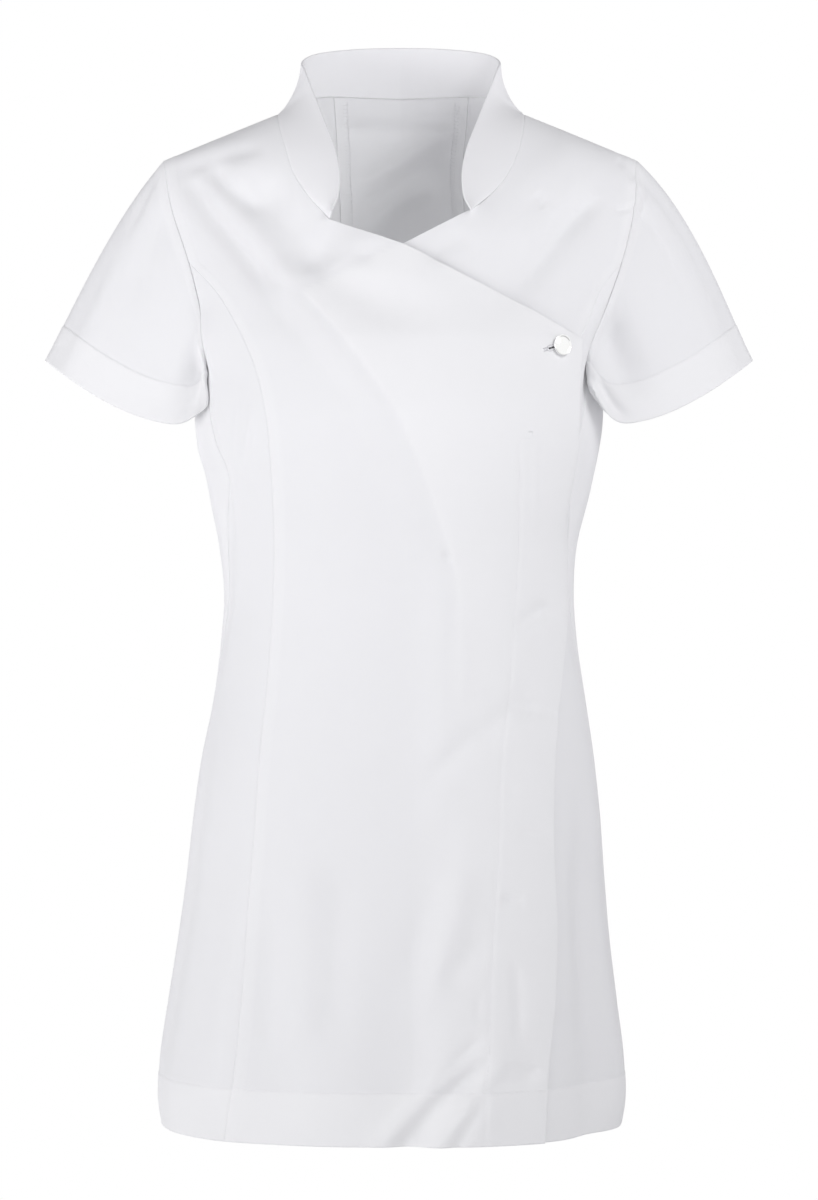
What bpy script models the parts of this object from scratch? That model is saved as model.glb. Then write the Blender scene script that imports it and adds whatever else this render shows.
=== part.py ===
"""A beautician's tunic: short sleeves, a stand collar, and a right front that laps
over the left and fastens with one round metal button.

Metres, +Z up. The front faces -Y and the wearer's left is +X. The origin is where the
shoulders carry the tunic, level with the points where the shoulder seams meet the neck.

The body is one smooth hollow form, given by the sections in BODY and by a roof line
over the shoulders. A place on it is an angle round the body, 0 at the middle of the
front and positive towards +X, and a height. The seams are curves in these two
coordinates, and each panel is a wall of cloth between the seams round it. The sleeves
and the collar are lofted from the seams that they are sewn to.
"""

import math

import bpy
import numpy as np
from mathutils import Matrix

CLOTH = 0.0012  # thickness of one layer with its give
COLLAR_CLOTH = 0.0020  # two layers and a stiffener
SEAM_GAP = 0.0003
SEAM_INSET = 0.70 * SEAM_GAP  # each side's share, and a little more as seams bend
HEM_RAISE = 0.0004  # a turned hem stands this much proud
LAP_RISE = 0.0034  # the right front lies this far out over the left front
LAP_FALL = 0.026  # and comes back to the body's form over this width,
LAP_MARGIN = 0.010  # this far past the left front's edge

ROUND = 2.3  # exponent of the body's section, 2 for an ellipse
CHEST_Z = -0.24  # above this height the front and back lean in to the shoulders
LEAN = 1.3  # how early they do so
SHOULDER_SLOPE = 0.40
NECK_HALF = 0.096  # from the middle to the end of the shoulder seam
NECK_SHIFT = 0.0015
NAPE_RISE = 0.081  # how far the back's form climbs towards the neck
GIRTH = 0.0024  # metres of cloth for a degree round the body
HEM_Z = -0.784
HEM_LINE_Z = -0.7445  # the stitching of the hem
SLEEVE_HEM = 0.027

# The body's sections: height, half width, depth in front, depth behind, shift to +X.
BODY = np.array([
    # z, half, front, back, shift
    (-0.784, 0.1790, 0.1290, 0.1190, -0.0055),
    (-0.768, 0.1815, 0.1288, 0.1185, -0.0055),
    (-0.737, 0.1810, 0.1275, 0.1170, -0.0055),
    (-0.690, 0.1750, 0.1245, 0.1140, -0.0050),
    (-0.643, 0.1685, 0.1210, 0.1110, -0.0040),
    (-0.597, 0.1633, 0.1175, 0.1080, -0.0027),
    (-0.550, 0.1588, 0.1140, 0.1040, -0.0018),
    (-0.503, 0.1530, 0.1095, 0.0980, -0.0010),
    (-0.456, 0.1447, 0.1055, 0.0905, 0.0004),
    (-0.410, 0.1388, 0.1030, 0.0845, 0.0000),
    (-0.375, 0.1362, 0.1030, 0.0825, 0.0000),
    (-0.339, 0.1388, 0.1070, 0.0845, -0.0008),
    (-0.292, 0.1488, 0.1165, 0.0910, 0.0004),
    (-0.246, 0.1565, 0.1240, 0.0975, 0.0015),
    (-0.205, 0.1595, 0.1235, 0.1020, 0.0010),
    (-0.187, 0.1635, 0.1225, 0.1040, 0.0010),
    (-0.166, 0.1700, 0.1210, 0.1060, 0.0025),
    (-0.119, 0.1844, 0.1175, 0.1075, 0.0050),
    (-0.075, 0.1950, 0.1145, 0.1065, 0.0030),
    (-0.035, 0.2030, 0.1130, 0.1055, 0.0010),
    (0.000, 0.2100, 0.1120, 0.1050, 0.0015),
    (0.120, 0.2200, 0.1100, 0.1050, 0.0015),
])

# Troughs (negative) and ridges in the cloth: the two ends, as degrees round the body
# and height, how wide, and how deep in the middle.
FOLDS = np.array([
    # angle, z, angle, z, width, rise
    (-69, -0.150, -66, -0.330, 0.0150, -0.0090),  # under the right arm
    (-66, -0.260, -80, -0.430, 0.0150, -0.0040),
    (69, -0.150, 66, -0.330, 0.0150, -0.0090),  # under the left arm
    (66, -0.260, 80, -0.430, 0.0150, -0.0040),
    (-48, -0.045, -22, -0.180, 0.0170, -0.0045),  # from the right shoulder
    (-38, -0.030, -12, -0.130, 0.0150, 0.0030),
    (-26, -0.115, 4, -0.170, 0.0160, -0.0040),
    (46, -0.060, 20, -0.165, 0.0170, -0.0045),  # from the left shoulder
    (36, -0.030, 10, -0.120, 0.0150, 0.0030),
    (-22, -0.600, -26, -0.780, 0.0180, -0.0045),  # over the hips, in front
    (-40, -0.580, -44, -0.780, 0.0170, 0.0035),
    (6, -0.640, 1, -0.782, 0.0160, -0.0035),
    (24, -0.700, 16, -0.782, 0.0140, 0.0030),
    (62, -0.520, 58, -0.782, 0.0180, -0.0045),
    (75, -0.560, 76, -0.782, 0.0160, 0.0035),
    (-72, -0.480, -76, -0.770, 0.0180, -0.0035),
    (150, -0.420, 158, -0.782, 0.0190, -0.0045),  # behind
    (-152, -0.430, -160, -0.782, 0.0190, -0.0045),
    (176, -0.500, 180, -0.782, 0.0180, 0.0040),
    (120, -0.470, 116, -0.780, 0.0180, 0.0035),
    (-122, -0.500, -118, -0.780, 0.0180, 0.0035),
    (128, -0.090, 150, -0.220, 0.0180, -0.0045),
    (-128, -0.090, -150, -0.230, 0.0180, -0.0045),
    (140, -0.300, 176, -0.350, 0.0150, -0.0030),
    (-140, -0.310, -172, -0.345, 0.0150, -0.0030),
])

# The armhole, from the shoulder in front, down to the underarm, and up behind.
ARMHOLE = np.array([
    # angle, z
    (62.9, -0.0358),
    (64.6, -0.0750),
    (62.4, -0.1190),  # the front princess seam starts here
    (62.2, -0.1560),
    (62.6, -0.1830),
    (65.6, -0.1960),
    (71.0, -0.2000),  # the underarm, where the side seam starts
    (82.0, -0.2010),
    (93.0, -0.1985),
    (103.0, -0.1920),
    (111.0, -0.1790),
    (115.0, -0.1550),
    (116.5, -0.1190),
    (118.0, -0.0750),
    (117.1, -0.0358),
])
PRINCESS_ROW, UNDERARM_ROW = 2, 6
UNDERARM_Z = ARMHOLE[UNDERARM_ROW, 1]

# Seams that run down the body. The front ones are given across, the others round it.
RIGHT_PRINCESS = np.array([
    # z, x
    (-0.784, -0.1300), (-0.736, -0.1230), (-0.676, -0.1167), (-0.564, -0.1094),
    (-0.498, -0.1052), (-0.440, -0.0995), (-0.377, -0.0950), (-0.319, -0.0941),
    (-0.280, -0.0957), (-0.240, -0.0995), (-0.213, -0.1050), (-0.190, -0.1128),
    (-0.168, -0.1236), (-0.143, -0.1390),
])
LEFT_PRINCESS = np.array([
    # z, x
    (-0.784, 0.0980), (-0.700, 0.1030), (-0.600, 0.1020), (-0.500, 0.0985),
    (-0.400, 0.0960), (-0.320, 0.0985), (-0.270, 0.1065), (-0.230, 0.1175),
    (-0.200, 0.1285), (-0.180, 0.1375), (-0.162, 0.1460), (-0.140, 0.1560),
])
SIDE_SEAM = np.array([
    # z, angle
    (-0.784, 90.0), (-0.450, 86.0), (-0.380, 80.0), (-0.320, 72.0), (-0.270, 67.5),
    (-0.235, 69.0), (-0.200, 71.0),
])
BACK_PRINCESS = np.array([
    # z, distance from the middle of the back
    (-0.784, 0.1000), (-0.650, 0.0880), (-0.500, 0.0720), (-0.385, 0.0600),
    (-0.300, 0.0580), (-0.200, 0.0560), (-0.100, 0.0510), (-0.040, 0.0500),
    (0.0215, 0.0540),
])

# The free edge of the right front, up from the hem, and its slanting neckline.
LAP_EDGE = np.array([
    # z, x
    (-0.784, 0.1080), (-0.728, 0.1113), (-0.688, 0.1158), (-0.628, 0.1181),
    (-0.558, 0.1155), (-0.528, 0.1155), (-0.462, 0.1195), (-0.395, 0.1265),
    (-0.318, 0.1322), (-0.270, 0.1345), (-0.215, 0.1353), (-0.1805, 0.1377),
])
RIGHT_NECKLINE = np.array([
    # x, z
    (0.1377, -0.1805), (0.1119, -0.1668), (0.0849, -0.1520), (0.0490, -0.1350),
    (0.0025, -0.1110), (-0.0250, -0.1005), (-0.0525, -0.0900),
])
RIGHT_NECK_SEAM = np.array([
    # x, z
    (-0.0525, -0.0900), (-0.0696, -0.0698), (-0.0808, -0.0510), (-0.0867, -0.0316),
    (-0.0920, -0.0135), (-0.0945, 0.0000),
])
# The hidden edge of the left front, under the right one.
UNDER_EDGE = np.array([
    # z, x
    (-0.784, 0.0446), (-0.600, 0.0446), (-0.450, 0.0446), (-0.3757, 0.0440),
    (-0.357, 0.0415), (-0.3385, 0.0362), (-0.2992, 0.0238), (-0.2658, 0.0110),
    (-0.2339, -0.0040), (-0.2086, -0.0215), (-0.1828, -0.0406), (-0.1591, -0.0600),
    (-0.1458, -0.0716),
])
LEFT_NECKLINE = np.array([
    # x, z
    (-0.0716, -0.1458), (-0.0390, -0.1305), (0.0010, -0.1110), (0.0300, -0.0955),
    (0.0600, -0.0797),
])
LEFT_NECK_SEAM = np.array([
    # x, z
    (0.0600, -0.0797), (0.0716, -0.0690), (0.0827, -0.0541), (0.0915, -0.0339),
    (0.0955, -0.0160), (0.0975, 0.0000),
])
NAPE_Z = 0.0226  # the neck seam at the middle of the back

# The opening of the left sleeve: degrees round it from the outside, over the front.
CUFF = np.array([
    # turn, x, y, z
    (0, 0.2760, 0.0000, -0.1915),
    (35, 0.2583, -0.0300, -0.2047),
    (60, 0.2369, -0.0410, -0.2192),
    (85, 0.2120, -0.0470, -0.2325),
    (110, 0.1890, -0.0495, -0.2405),
    (135, 0.1686, -0.0510, -0.2430),
    (158, 0.1540, -0.0510, -0.2360),
    (180, 0.1470, -0.0480, -0.2290),
    (195, 0.1580, -0.0300, -0.2290),
    (210, 0.1625, -0.0100, -0.2310),
    (230, 0.1690, 0.0150, -0.2330),
    (255, 0.1830, 0.0360, -0.2310),
    (285, 0.2100, 0.0480, -0.2200),
    (315, 0.2420, 0.0430, -0.2060),
    (340, 0.2660, 0.0230, -0.1960),
    (360, 0.2760, 0.0000, -0.1915),
])
SLEEVE_END = np.array((0.49, 0.0, -0.87))  # the way the cuff points
ARMHOLE_MIDDLE = np.array((0.18, 0.0, -0.12))
SLEEVE_CROWN = np.array((0.29, 0.0, 0.18))  # how its top swells out where it leaves the seam
SLEEVE_SIDES = np.array((0.0, -0.16, 0.0))  # and its front; its back swells the other way
SLEEVE_REACH = 0.09  # over this length it turns to point as the cuff does
SLEEVE_CLEAR = 0.002  # its underside stays this far off the body's cloth
FAR = 0.3

# The collar's free edge, from its right end round the back to its left end. A row's
# place is its share of the neck seam on that side, 0 at the end and 1 at the nape.
COLLAR_EDGE = np.array([
    # place, x from the middle, y, z
    (0.00, 0.0535, -0.0900, -0.0840),
    (0.07, 0.0480, -0.0830, -0.0735),
    (0.15, 0.0462, -0.0730, -0.0575),
    (0.27, 0.0500, -0.0560, -0.0330),
    (0.38, 0.0585, -0.0370, -0.0090),
    (0.49, 0.0680, -0.0160, 0.0160),
    (0.58, 0.0755, 0.0040, 0.0360),
    (0.66, 0.0785, 0.0200, 0.0450),
    (0.76, 0.0690, 0.0400, 0.0540),
    (0.88, 0.0390, 0.0560, 0.0605),
    (1.00, 0.0000, 0.0610, 0.0625),
])

BUTTON_X = 0.1205
BUTTON_Z = -0.1861
SHANK_RADIUS = 0.0009
BUTTONHOLE_LONG = 0.0170
BUTTONHOLE_WIDE = 0.0026
BUTTONHOLE_TURN = 14  # degrees that its inner end hangs down

# How many strips each wall has.
BODY_ROWS = 15  # between the hem's stitching and the height of the underarm
CHEST_ROWS = 7  # above that, up to the top of the front princess seam
FRONT_ROWS = 11  # above that, up to the shoulder
BACK_ROWS = 14  # from the underarm up to the shoulder and the neck
RIGHT_FRONT_STRIPS = 18
LAP_CROWD = 0.80  # how evenly they are spaced, closer towards the free edge
LEFT_FRONT_STRIPS = 12
SIDE_FRONT_STRIPS = 6
SHOULDER_STRIPS = 6
NECK_STRIPS = 3
BACK_STRIPS = 8
SLEEVE_ROWS = 9
COLLAR_ROWS = 5
NECK_CROWD = 0.75  # how evenly the places on a neck seam and an armhole's top are spaced
BUTTON_STEPS = 32


def smooth(at, xs, ys):
    """A cubic curve through a table's rows, each with the mean slope of its neighbours."""
    slopes = np.gradient(ys, xs)
    i = np.clip(np.searchsorted(xs, at) - 1, 0, len(xs) - 2)
    gap = xs[i + 1] - xs[i]
    t = np.clip((at - xs[i]) / gap, 0, 1)
    rise = slopes[i] * (t**3 - 2 * t**2 + t) + slopes[i + 1] * (t**3 - t**2)
    return ys[i] * (2 * t**3 - 3 * t**2 + 1) + ys[i + 1] * (3 * t**2 - 2 * t**3) + gap * rise


def step(low, high, at):
    """0 below low and 1 above high, with a soft change between them."""
    t = np.clip((at - low) / (high - low), 0, 1)
    return t * t * (3 - 2 * t)


def roof(x, behind):
    """How high the body's form reaches over a place x across."""
    away = np.abs(x - NECK_SHIFT)
    nape = np.clip(1 - (away / NECK_HALF) ** 2, 0, 1) ** 1.2
    return SHOULDER_SLOPE * (NECK_HALF - away) + np.where(behind, NAPE_RISE * nape, 0)


def lean(x, z, behind):
    """0 up to the chest, and 1 at the roof."""
    return np.maximum((z - CHEST_Z) / (roof(x, behind) - CHEST_Z), 0)


def section(z):
    return [smooth(z, BODY[:, 0], column) for column in BODY.T[1:]]


def level(x, y, z):
    """Below 0 inside the body's form, and above 0 outside it."""
    half, front, back, shift = section(z)
    across = (np.abs(x - shift) / half) ** ROUND
    deep = (np.abs(y) / np.where(y < 0, front, back)) ** ROUND
    return deep - (1 - across) * (1 - lean(x, z, y > 0) ** LEAN)


def level_slope(x, y, z):
    nudge = 2e-5
    return np.stack([
        level(x + nudge, y, z) - level(x - nudge, y, z),
        level(x, y + nudge, z) - level(x, y - nudge, z),
        level(x, y, z + nudge) - level(x, y, z - nudge),
    ], axis=-1) / (2 * nudge)


def unit(vectors):
    return vectors / np.maximum(np.linalg.norm(vectors, axis=-1, keepdims=True), 1e-12)


def angle_of(x, z):
    """The angle of the place x across on the front."""
    half, _, _, shift = section(z)
    sine = np.minimum(np.abs(x - shift) / half, 1) ** (ROUND / 2)
    return np.sign(x - shift) * np.degrees(np.arcsin(sine))


def fold_rise(angle, z):
    """How far the troughs and ridges move the cloth out."""
    rise = np.zeros_like(z)
    for a0, z0, a1, z1, width, height in FOLDS:
        start = np.array((a0 * GIRTH, z0))
        run = np.array((a1 * GIRTH, z1)) - start
        length = np.linalg.norm(run)
        turned = (angle - a0 + 180) % 360 - 180 + a0
        along = ((turned * GIRTH - start[0]) * run[0] + (z - start[1]) * run[1]) / length
        side = ((turned * GIRTH - start[0]) * run[1] - (z - start[1]) * run[0]) / length
        ends = step(-0.2, 0.3, along / length) * step(-0.2, 0.3, 1 - along / length)
        rise = rise + height * ends * np.exp(-((side / width) ** 2))
    return rise


def body(places, rise=0.0):
    """The points and outward directions at these (angle, z) places of the body's form."""
    angle, z = places[..., 0], places[..., 1]
    half, front, back, shift = section(z)
    sine, cosine = np.sin(np.radians(angle)), np.cos(np.radians(angle))
    x = shift + half * np.sign(sine) * np.abs(sine) ** (2 / ROUND)
    behind = cosine < 0
    inwards = np.clip(1 - lean(x, z, behind) ** LEAN, 0, 1) ** (1 / ROUND)
    depth = np.where(behind, back, front) * np.abs(cosine) ** (2 / ROUND) * inwards
    y = np.where(behind, depth, -depth)
    out = unit(level_slope(x, y, z))
    moved = fold_rise(angle, z) * step(0, 0.012, roof(x, behind) - z) + rise
    return np.stack([x, y, z], axis=-1) + out * np.asarray(moved)[..., None], out


def clear_of_body(points, least):
    """The points, moved out to this distance from the folded cloth of the body."""
    x, y, z = np.moveaxis(points, -1, 0)
    half, front, back, shift = section(z)
    sine = (np.abs(x - shift) / half) ** (ROUND / 2) * np.sign(x - shift)
    cosine = -np.sign(y) * (np.abs(y) / np.where(y < 0, front, back)) ** (ROUND / 2)
    slope = level_slope(x, y, z)
    distance = level(x, y, z) / np.linalg.norm(slope, axis=-1)
    distance -= fold_rise(np.degrees(np.arctan2(sine, cosine)), z)
    return points + unit(slope) * np.maximum(least - distance, 0)[..., None]


def rows_up(top, above=0):
    """Heights up to the underarm, with two close rows at the hem's stitching, and above it."""
    start = (HEM_Z, HEM_LINE_Z - 0.0006, HEM_LINE_Z + 0.0006)
    middle = np.linspace(HEM_LINE_Z, UNDERARM_Z, BODY_ROWS + 1)[1:]
    return np.concatenate([start, middle, np.linspace(UNDERARM_Z, top, above + 1)[1:]])


def across_seam(table, heights):
    """A seam on the front, from its (z, x) table."""
    x = smooth(heights, table[:, 0], table[:, 1])
    return np.stack([angle_of(x, heights), heights], axis=-1)


def crowded(count, crowd=1.0):
    """Shares from 0 to 1, closer together towards 1 if crowd is under 1."""
    return 1 - (1 - np.linspace(0, 1, count + 1)) ** (1 / crowd)


def through(table, count, crowd):
    """Places through a front edge's (x, z) table."""
    t = crowded(count, crowd) * (len(table) - 1)
    row = np.arange(len(table))
    x, z = smooth(t, row, table[:, 0]), smooth(t, row, table[:, 1])
    return np.stack([angle_of(x, z), z], axis=-1)


def armhole(start, end, count, crowd=1.0):
    """Places on the left armhole between two of its rows."""
    t = start + (end - start) * crowded(count, crowd)
    row = np.arange(len(ARMHOLE))
    angle, z = smooth(t, row, ARMHOLE[:, 0]), smooth(t, row, ARMHOLE[:, 1])
    return np.stack([angle, on_roof(angle, z)], axis=-1)


def on_roof(angle, z):
    """The height, lowered to the roof where it lies over it."""
    half, _, _, shift = section(z)
    x = shift + half * np.sin(np.radians(angle)) ** (2 / ROUND)
    return np.minimum(z, roof(x, False))


def joined(*runs):
    """Runs of places end to end, without the points that they share."""
    return np.concatenate([runs[0]] + [run[1:] for run in runs[1:]])


def shoulder(start, end, shares):
    """Places on the roof line from one x to another."""
    x = start + (end - start) * shares
    z = roof(x, False)
    return np.stack([angle_of(x, z), z], axis=-1)


def nape(start, end, count, side):
    """The neck seam behind, between two distances from its middle."""
    away = np.linspace(start, end, count + 1)
    x = NECK_SHIFT + away * side
    share = np.minimum(np.abs(away) / NECK_HALF, 1)
    z = NAPE_Z * (1 - share**6)
    turn = angle_of(x, z)
    return np.stack([180 * side - turn, z], axis=-1)


def patch(bottom, top, start, end, shares):
    """Places between four runs: the bottom and top go from start to end, as the rows do."""
    u = shares[None, :, None]
    v = length_share(start, end)[:, None, None]
    sides = (1 - u) * start[:, None] + u * end[:, None]
    ends = (1 - v) * bottom[None] + v * top[None]
    corners = (1 - v) * ((1 - u) * bottom[0] + u * bottom[-1])
    corners = corners + v * ((1 - u) * top[0] + u * top[-1])
    return sides + ends - corners


def length_share(start, end):
    """How far up each row is, as the mean of the two sides."""
    shares = []
    for run in (start, end):
        steps = np.linalg.norm(np.diff(run * (GIRTH, 1), axis=0), axis=1)
        shares.append(np.concatenate([[0], np.cumsum(steps)]) / steps.sum())
    return (shares[0] + shares[1]) / 2


def set_in(points, out, sides, gap=SEAM_INSET):
    """Moves the named edges of a grid inwards along the surface, to leave half a seam's gap."""
    moved = points.copy()
    for side in sides:
        edge, inner = {
            "bottom": (np.s_[0], np.s_[1]), "top": (np.s_[-1], np.s_[-2]),
            "start": (np.s_[:, 0], np.s_[:, 1]), "end": (np.s_[:, -1], np.s_[:, -2]),
        }[side]
        along = unit(np.gradient(points[edge], axis=0))
        inwards = unit(np.cross(out[edge], along))
        turn = np.sign(((points[inner] - points[edge]) * inwards).sum(axis=-1, keepdims=True))
        moved[edge] += inwards * turn * gap
    return moved


def wall(name, outer, inner, material, closed=False):
    """A wall of cloth between two grids of points, as one object; closed joins its rows' ends."""
    rows, columns = outer.shape[:2]
    index = np.arange(rows * columns).reshape(rows, columns)
    if closed:
        index = np.concatenate([index, index[:, :1]], axis=1)
    under = index + rows * columns

    def strip(a, b):
        return np.stack([a[:-1], a[1:], b[1:], b[:-1]], axis=-1).reshape(-1, 4)

    def split(quads):
        """Each quad as two triangles, along its shorter diagonal."""
        a, b, c, d = points[quads.T]
        other = (np.linalg.norm(a - c, axis=1) > np.linalg.norm(b - d, axis=1))[:, None]
        first = np.where(other, quads[:, [0, 1, 3]], quads[:, [0, 1, 2]])
        second = np.where(other, quads[:, [1, 2, 3]], quads[:, [0, 2, 3]])
        return np.concatenate([first, second])

    faces = [strip(index[r], index[r + 1]) for r in range(rows - 1)]
    faces += [strip(under[r + 1], under[r]) for r in range(rows - 1)]
    faces += [strip(under[0], index[0]), strip(index[-1], under[-1])]
    if not closed:
        faces += [strip(index[:, 0], under[:, 0]), strip(under[:, -1], index[:, -1])]
    points = np.concatenate([outer.reshape(-1, 3), inner.reshape(-1, 3)])
    mesh = bpy.data.meshes.new(name)
    mesh.from_pydata(points.tolist(), [], split(np.concatenate(faces)).tolist())
    mesh.materials.append(material)
    mesh.shade_smooth()
    mesh.set_sharp_from_angle(angle=math.radians(50))
    return bpy.data.objects.new(name, mesh)


def panel(name, places, sewn, material, rise=0.0):
    """A wall of the body over these places, set in where it is sewn. Its hem is raised."""
    points, out = body(places, rise)
    points = set_in(points, out, sewn)
    hem = np.where(places[..., 1] < HEM_LINE_Z, HEM_RAISE, 0)[..., None]
    return wall(name, points + out * hem, points - out * CLOTH, material)


def neck_run(neck_seam, heights):
    """A front's neck seam, with a place for each of these heights over the collar's end."""
    collar_end = np.argmin(np.abs(heights - neck_seam[0, 1]))
    return through(neck_seam, len(heights) - 1 - collar_end, NECK_CROWD)


def front_edge(edge, neckline, neck_seam, heights):
    """A front's other side, level with these heights up its free edge and its neckline,
    and then spaced along its neck seam."""
    above = neck_run(neck_seam, heights)
    corner = np.argmin(np.abs(heights - edge[-1, 0]))
    lower = heights[: corner + 1].copy()
    upper = heights[corner : len(heights) + 1 - len(above)].copy()
    lower[-1] = upper[0] = edge[-1, 0]
    upper[-1] = neck_seam[0, 1]
    rising = neckline[np.argsort(neckline[:, 1])][:, ::-1]
    return joined(across_seam(edge, lower), across_seam(rising, upper), above)


def hem_run(start, end, shares):
    angle = start + (end - start) * shares
    return np.stack([angle, np.full(len(shares), HEM_Z)], axis=-1)


def front_princess(table, side):
    """A front princess seam, which ends on the armhole."""
    top = armhole(PRINCESS_ROW, PRINCESS_ROW + 1, 1)[0]
    x = body(top * (side, 1))[0][0]
    table = np.concatenate([table, [(top[1], x)]])
    seam = across_seam(table, rows_up(top[1], CHEST_ROWS))
    seam[-1] = top * (side, 1)
    return seam


def side_seam():
    heights = rows_up(UNDERARM_Z)
    angle = smooth(heights, SIDE_SEAM[:, 0], SIDE_SEAM[:, 1])
    return np.stack([angle, heights], axis=-1)


def back_princess():
    """The left back princess seam, from the hem to the neck."""
    heights = rows_up(BACK_PRINCESS[-1, 0], BACK_ROWS)
    away = smooth(heights, BACK_PRINCESS[:, 0], BACK_PRINCESS[:, 1])
    half, _, _, _ = section(heights)
    turn = np.degrees(np.arcsin((away / half) ** (ROUND / 2)))
    seam = np.stack([180 - turn, heights], axis=-1)
    seam[-1] = nape(BACK_PRINCESS[-1, 1], 0, 1, 1)[0]
    return seam


def arm_high(side):
    """The armhole from the princess seam up to the shoulder."""
    return armhole(PRINCESS_ROW, 0, FRONT_ROWS, NECK_CROWD) * (side, 1)


def arm_low(side):
    """The armhole from the princess seam down to the underarm."""
    return armhole(PRINCESS_ROW, UNDERARM_ROW, SIDE_FRONT_STRIPS + CHEST_ROWS) * (side, 1)


def arm_back(side):
    return armhole(UNDERARM_ROW, len(ARMHOLE) - 1, BACK_ROWS, 0.8) * (side, 1)


def arm_side(table, side):
    """A front panel's side towards the arm, from the hem to the shoulder."""
    return joined(front_princess(table, side), arm_high(side))


def lap_rise(places):
    """How far the right front stands off: full over the left front, and none past its edges."""
    z = places[..., 1]
    x = body(places)[0][..., 0]
    beside = x - smooth(z, UNDER_EDGE[:, 0], UNDER_EDGE[:, 1])
    below = smooth(x, LEFT_NECKLINE[:, 0], LEFT_NECKLINE[:, 1]) - z
    start, full = -LAP_FALL - LAP_MARGIN, -LAP_MARGIN
    return LAP_RISE * step(start, full, beside) * step(start, full, below)


def right_front(material):
    start = arm_side(RIGHT_PRINCESS, -1)
    end = front_edge(LAP_EDGE, RIGHT_NECKLINE, RIGHT_NECK_SEAM, start[:, 1])
    shares = crowded(RIGHT_FRONT_STRIPS, LAP_CROWD)
    bottom = hem_run(start[0, 0], end[0, 0], shares)
    top = shoulder(body(start[-1])[0][0], RIGHT_NECK_SEAM[-1, 0], shares)
    start[-1], end[-1] = top[0], top[-1]
    places = patch(bottom, top, start, end, shares)
    return panel("right_front", places, ("start", "top", "end"), material, lap_rise(places))


def left_front(material):
    end = arm_side(LEFT_PRINCESS, 1)
    start = front_edge(UNDER_EDGE, LEFT_NECKLINE, LEFT_NECK_SEAM, end[:, 1])
    shares = crowded(LEFT_FRONT_STRIPS)
    bottom = hem_run(start[0, 0], end[0, 0], shares)
    top = shoulder(LEFT_NECK_SEAM[-1, 0], body(end[-1])[0][0], shares)
    start[-1], end[-1] = top[0], top[-1]
    places = patch(bottom, top, start, end, shares)
    return panel("left_front", places, ("start", "top", "end"), material)


def side_front(name, table, side, material):
    princess, low = front_princess(table, side), arm_low(side)
    seam = joined(side_seam() * (side, 1), low[SIDE_FRONT_STRIPS:][::-1])
    shares = crowded(SIDE_FRONT_STRIPS)
    bottom = hem_run(princess[0, 0], seam[0, 0], shares)
    places = patch(bottom, low[: SIDE_FRONT_STRIPS + 1], princess, seam, shares)
    if side < 0:
        places = places[:, ::-1]
    return panel(name, places, ("start", "end", "top"), material)


def side_back(name, side, material):
    inner = back_princess() * (side, 1)
    outer = joined(side_seam() * (side, 1), arm_back(side))
    tip = body(outer[-1])[0][0]
    neck_x = LEFT_NECK_SEAM[-1, 0] if side > 0 else RIGHT_NECK_SEAM[-1, 0]
    top = shoulder(tip, neck_x, crowded(SHOULDER_STRIPS))
    top[:, 0] = 180 * side - top[:, 0]
    top = joined(top, nape(NECK_HALF, BACK_PRINCESS[-1, 1], NECK_STRIPS, side))
    outer[-1] = top[0]
    inner[-1] = top[-1]
    shares = crowded(SHOULDER_STRIPS + NECK_STRIPS)
    bottom = hem_run(outer[0, 0], inner[0, 0], shares)
    places = patch(bottom, top, outer, inner, shares)
    if side < 0:
        places = places[:, ::-1]
    return panel(name, places, ("start", "end", "top"), material)


def back(material):
    left = back_princess()
    right = left.copy()
    right[:, 0] = 360 - left[:, 0]
    across = nape(BACK_PRINCESS[-1, 1], -BACK_PRINCESS[-1, 1], BACK_STRIPS, 1)
    shares = crowded(BACK_STRIPS)
    bottom = hem_run(left[0, 0], right[0, 0], shares)
    left[-1], right[-1] = across[0], across[-1]
    places = patch(bottom, across, left, right, shares)
    return panel("back", places, ("start", "end", "top"), material)


def grid_normals(points, closed):
    """Directions square to a grid, whose rows go round anticlockwise seen from outside."""
    if closed:
        wide = np.concatenate([points[:, -1:], points, points[:, :1]], axis=1)
        across = np.gradient(wide, axis=1)[:, 1:-1]
    else:
        across = np.gradient(points, axis=1)
    return unit(np.cross(across, np.gradient(points, axis=0)))


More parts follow.
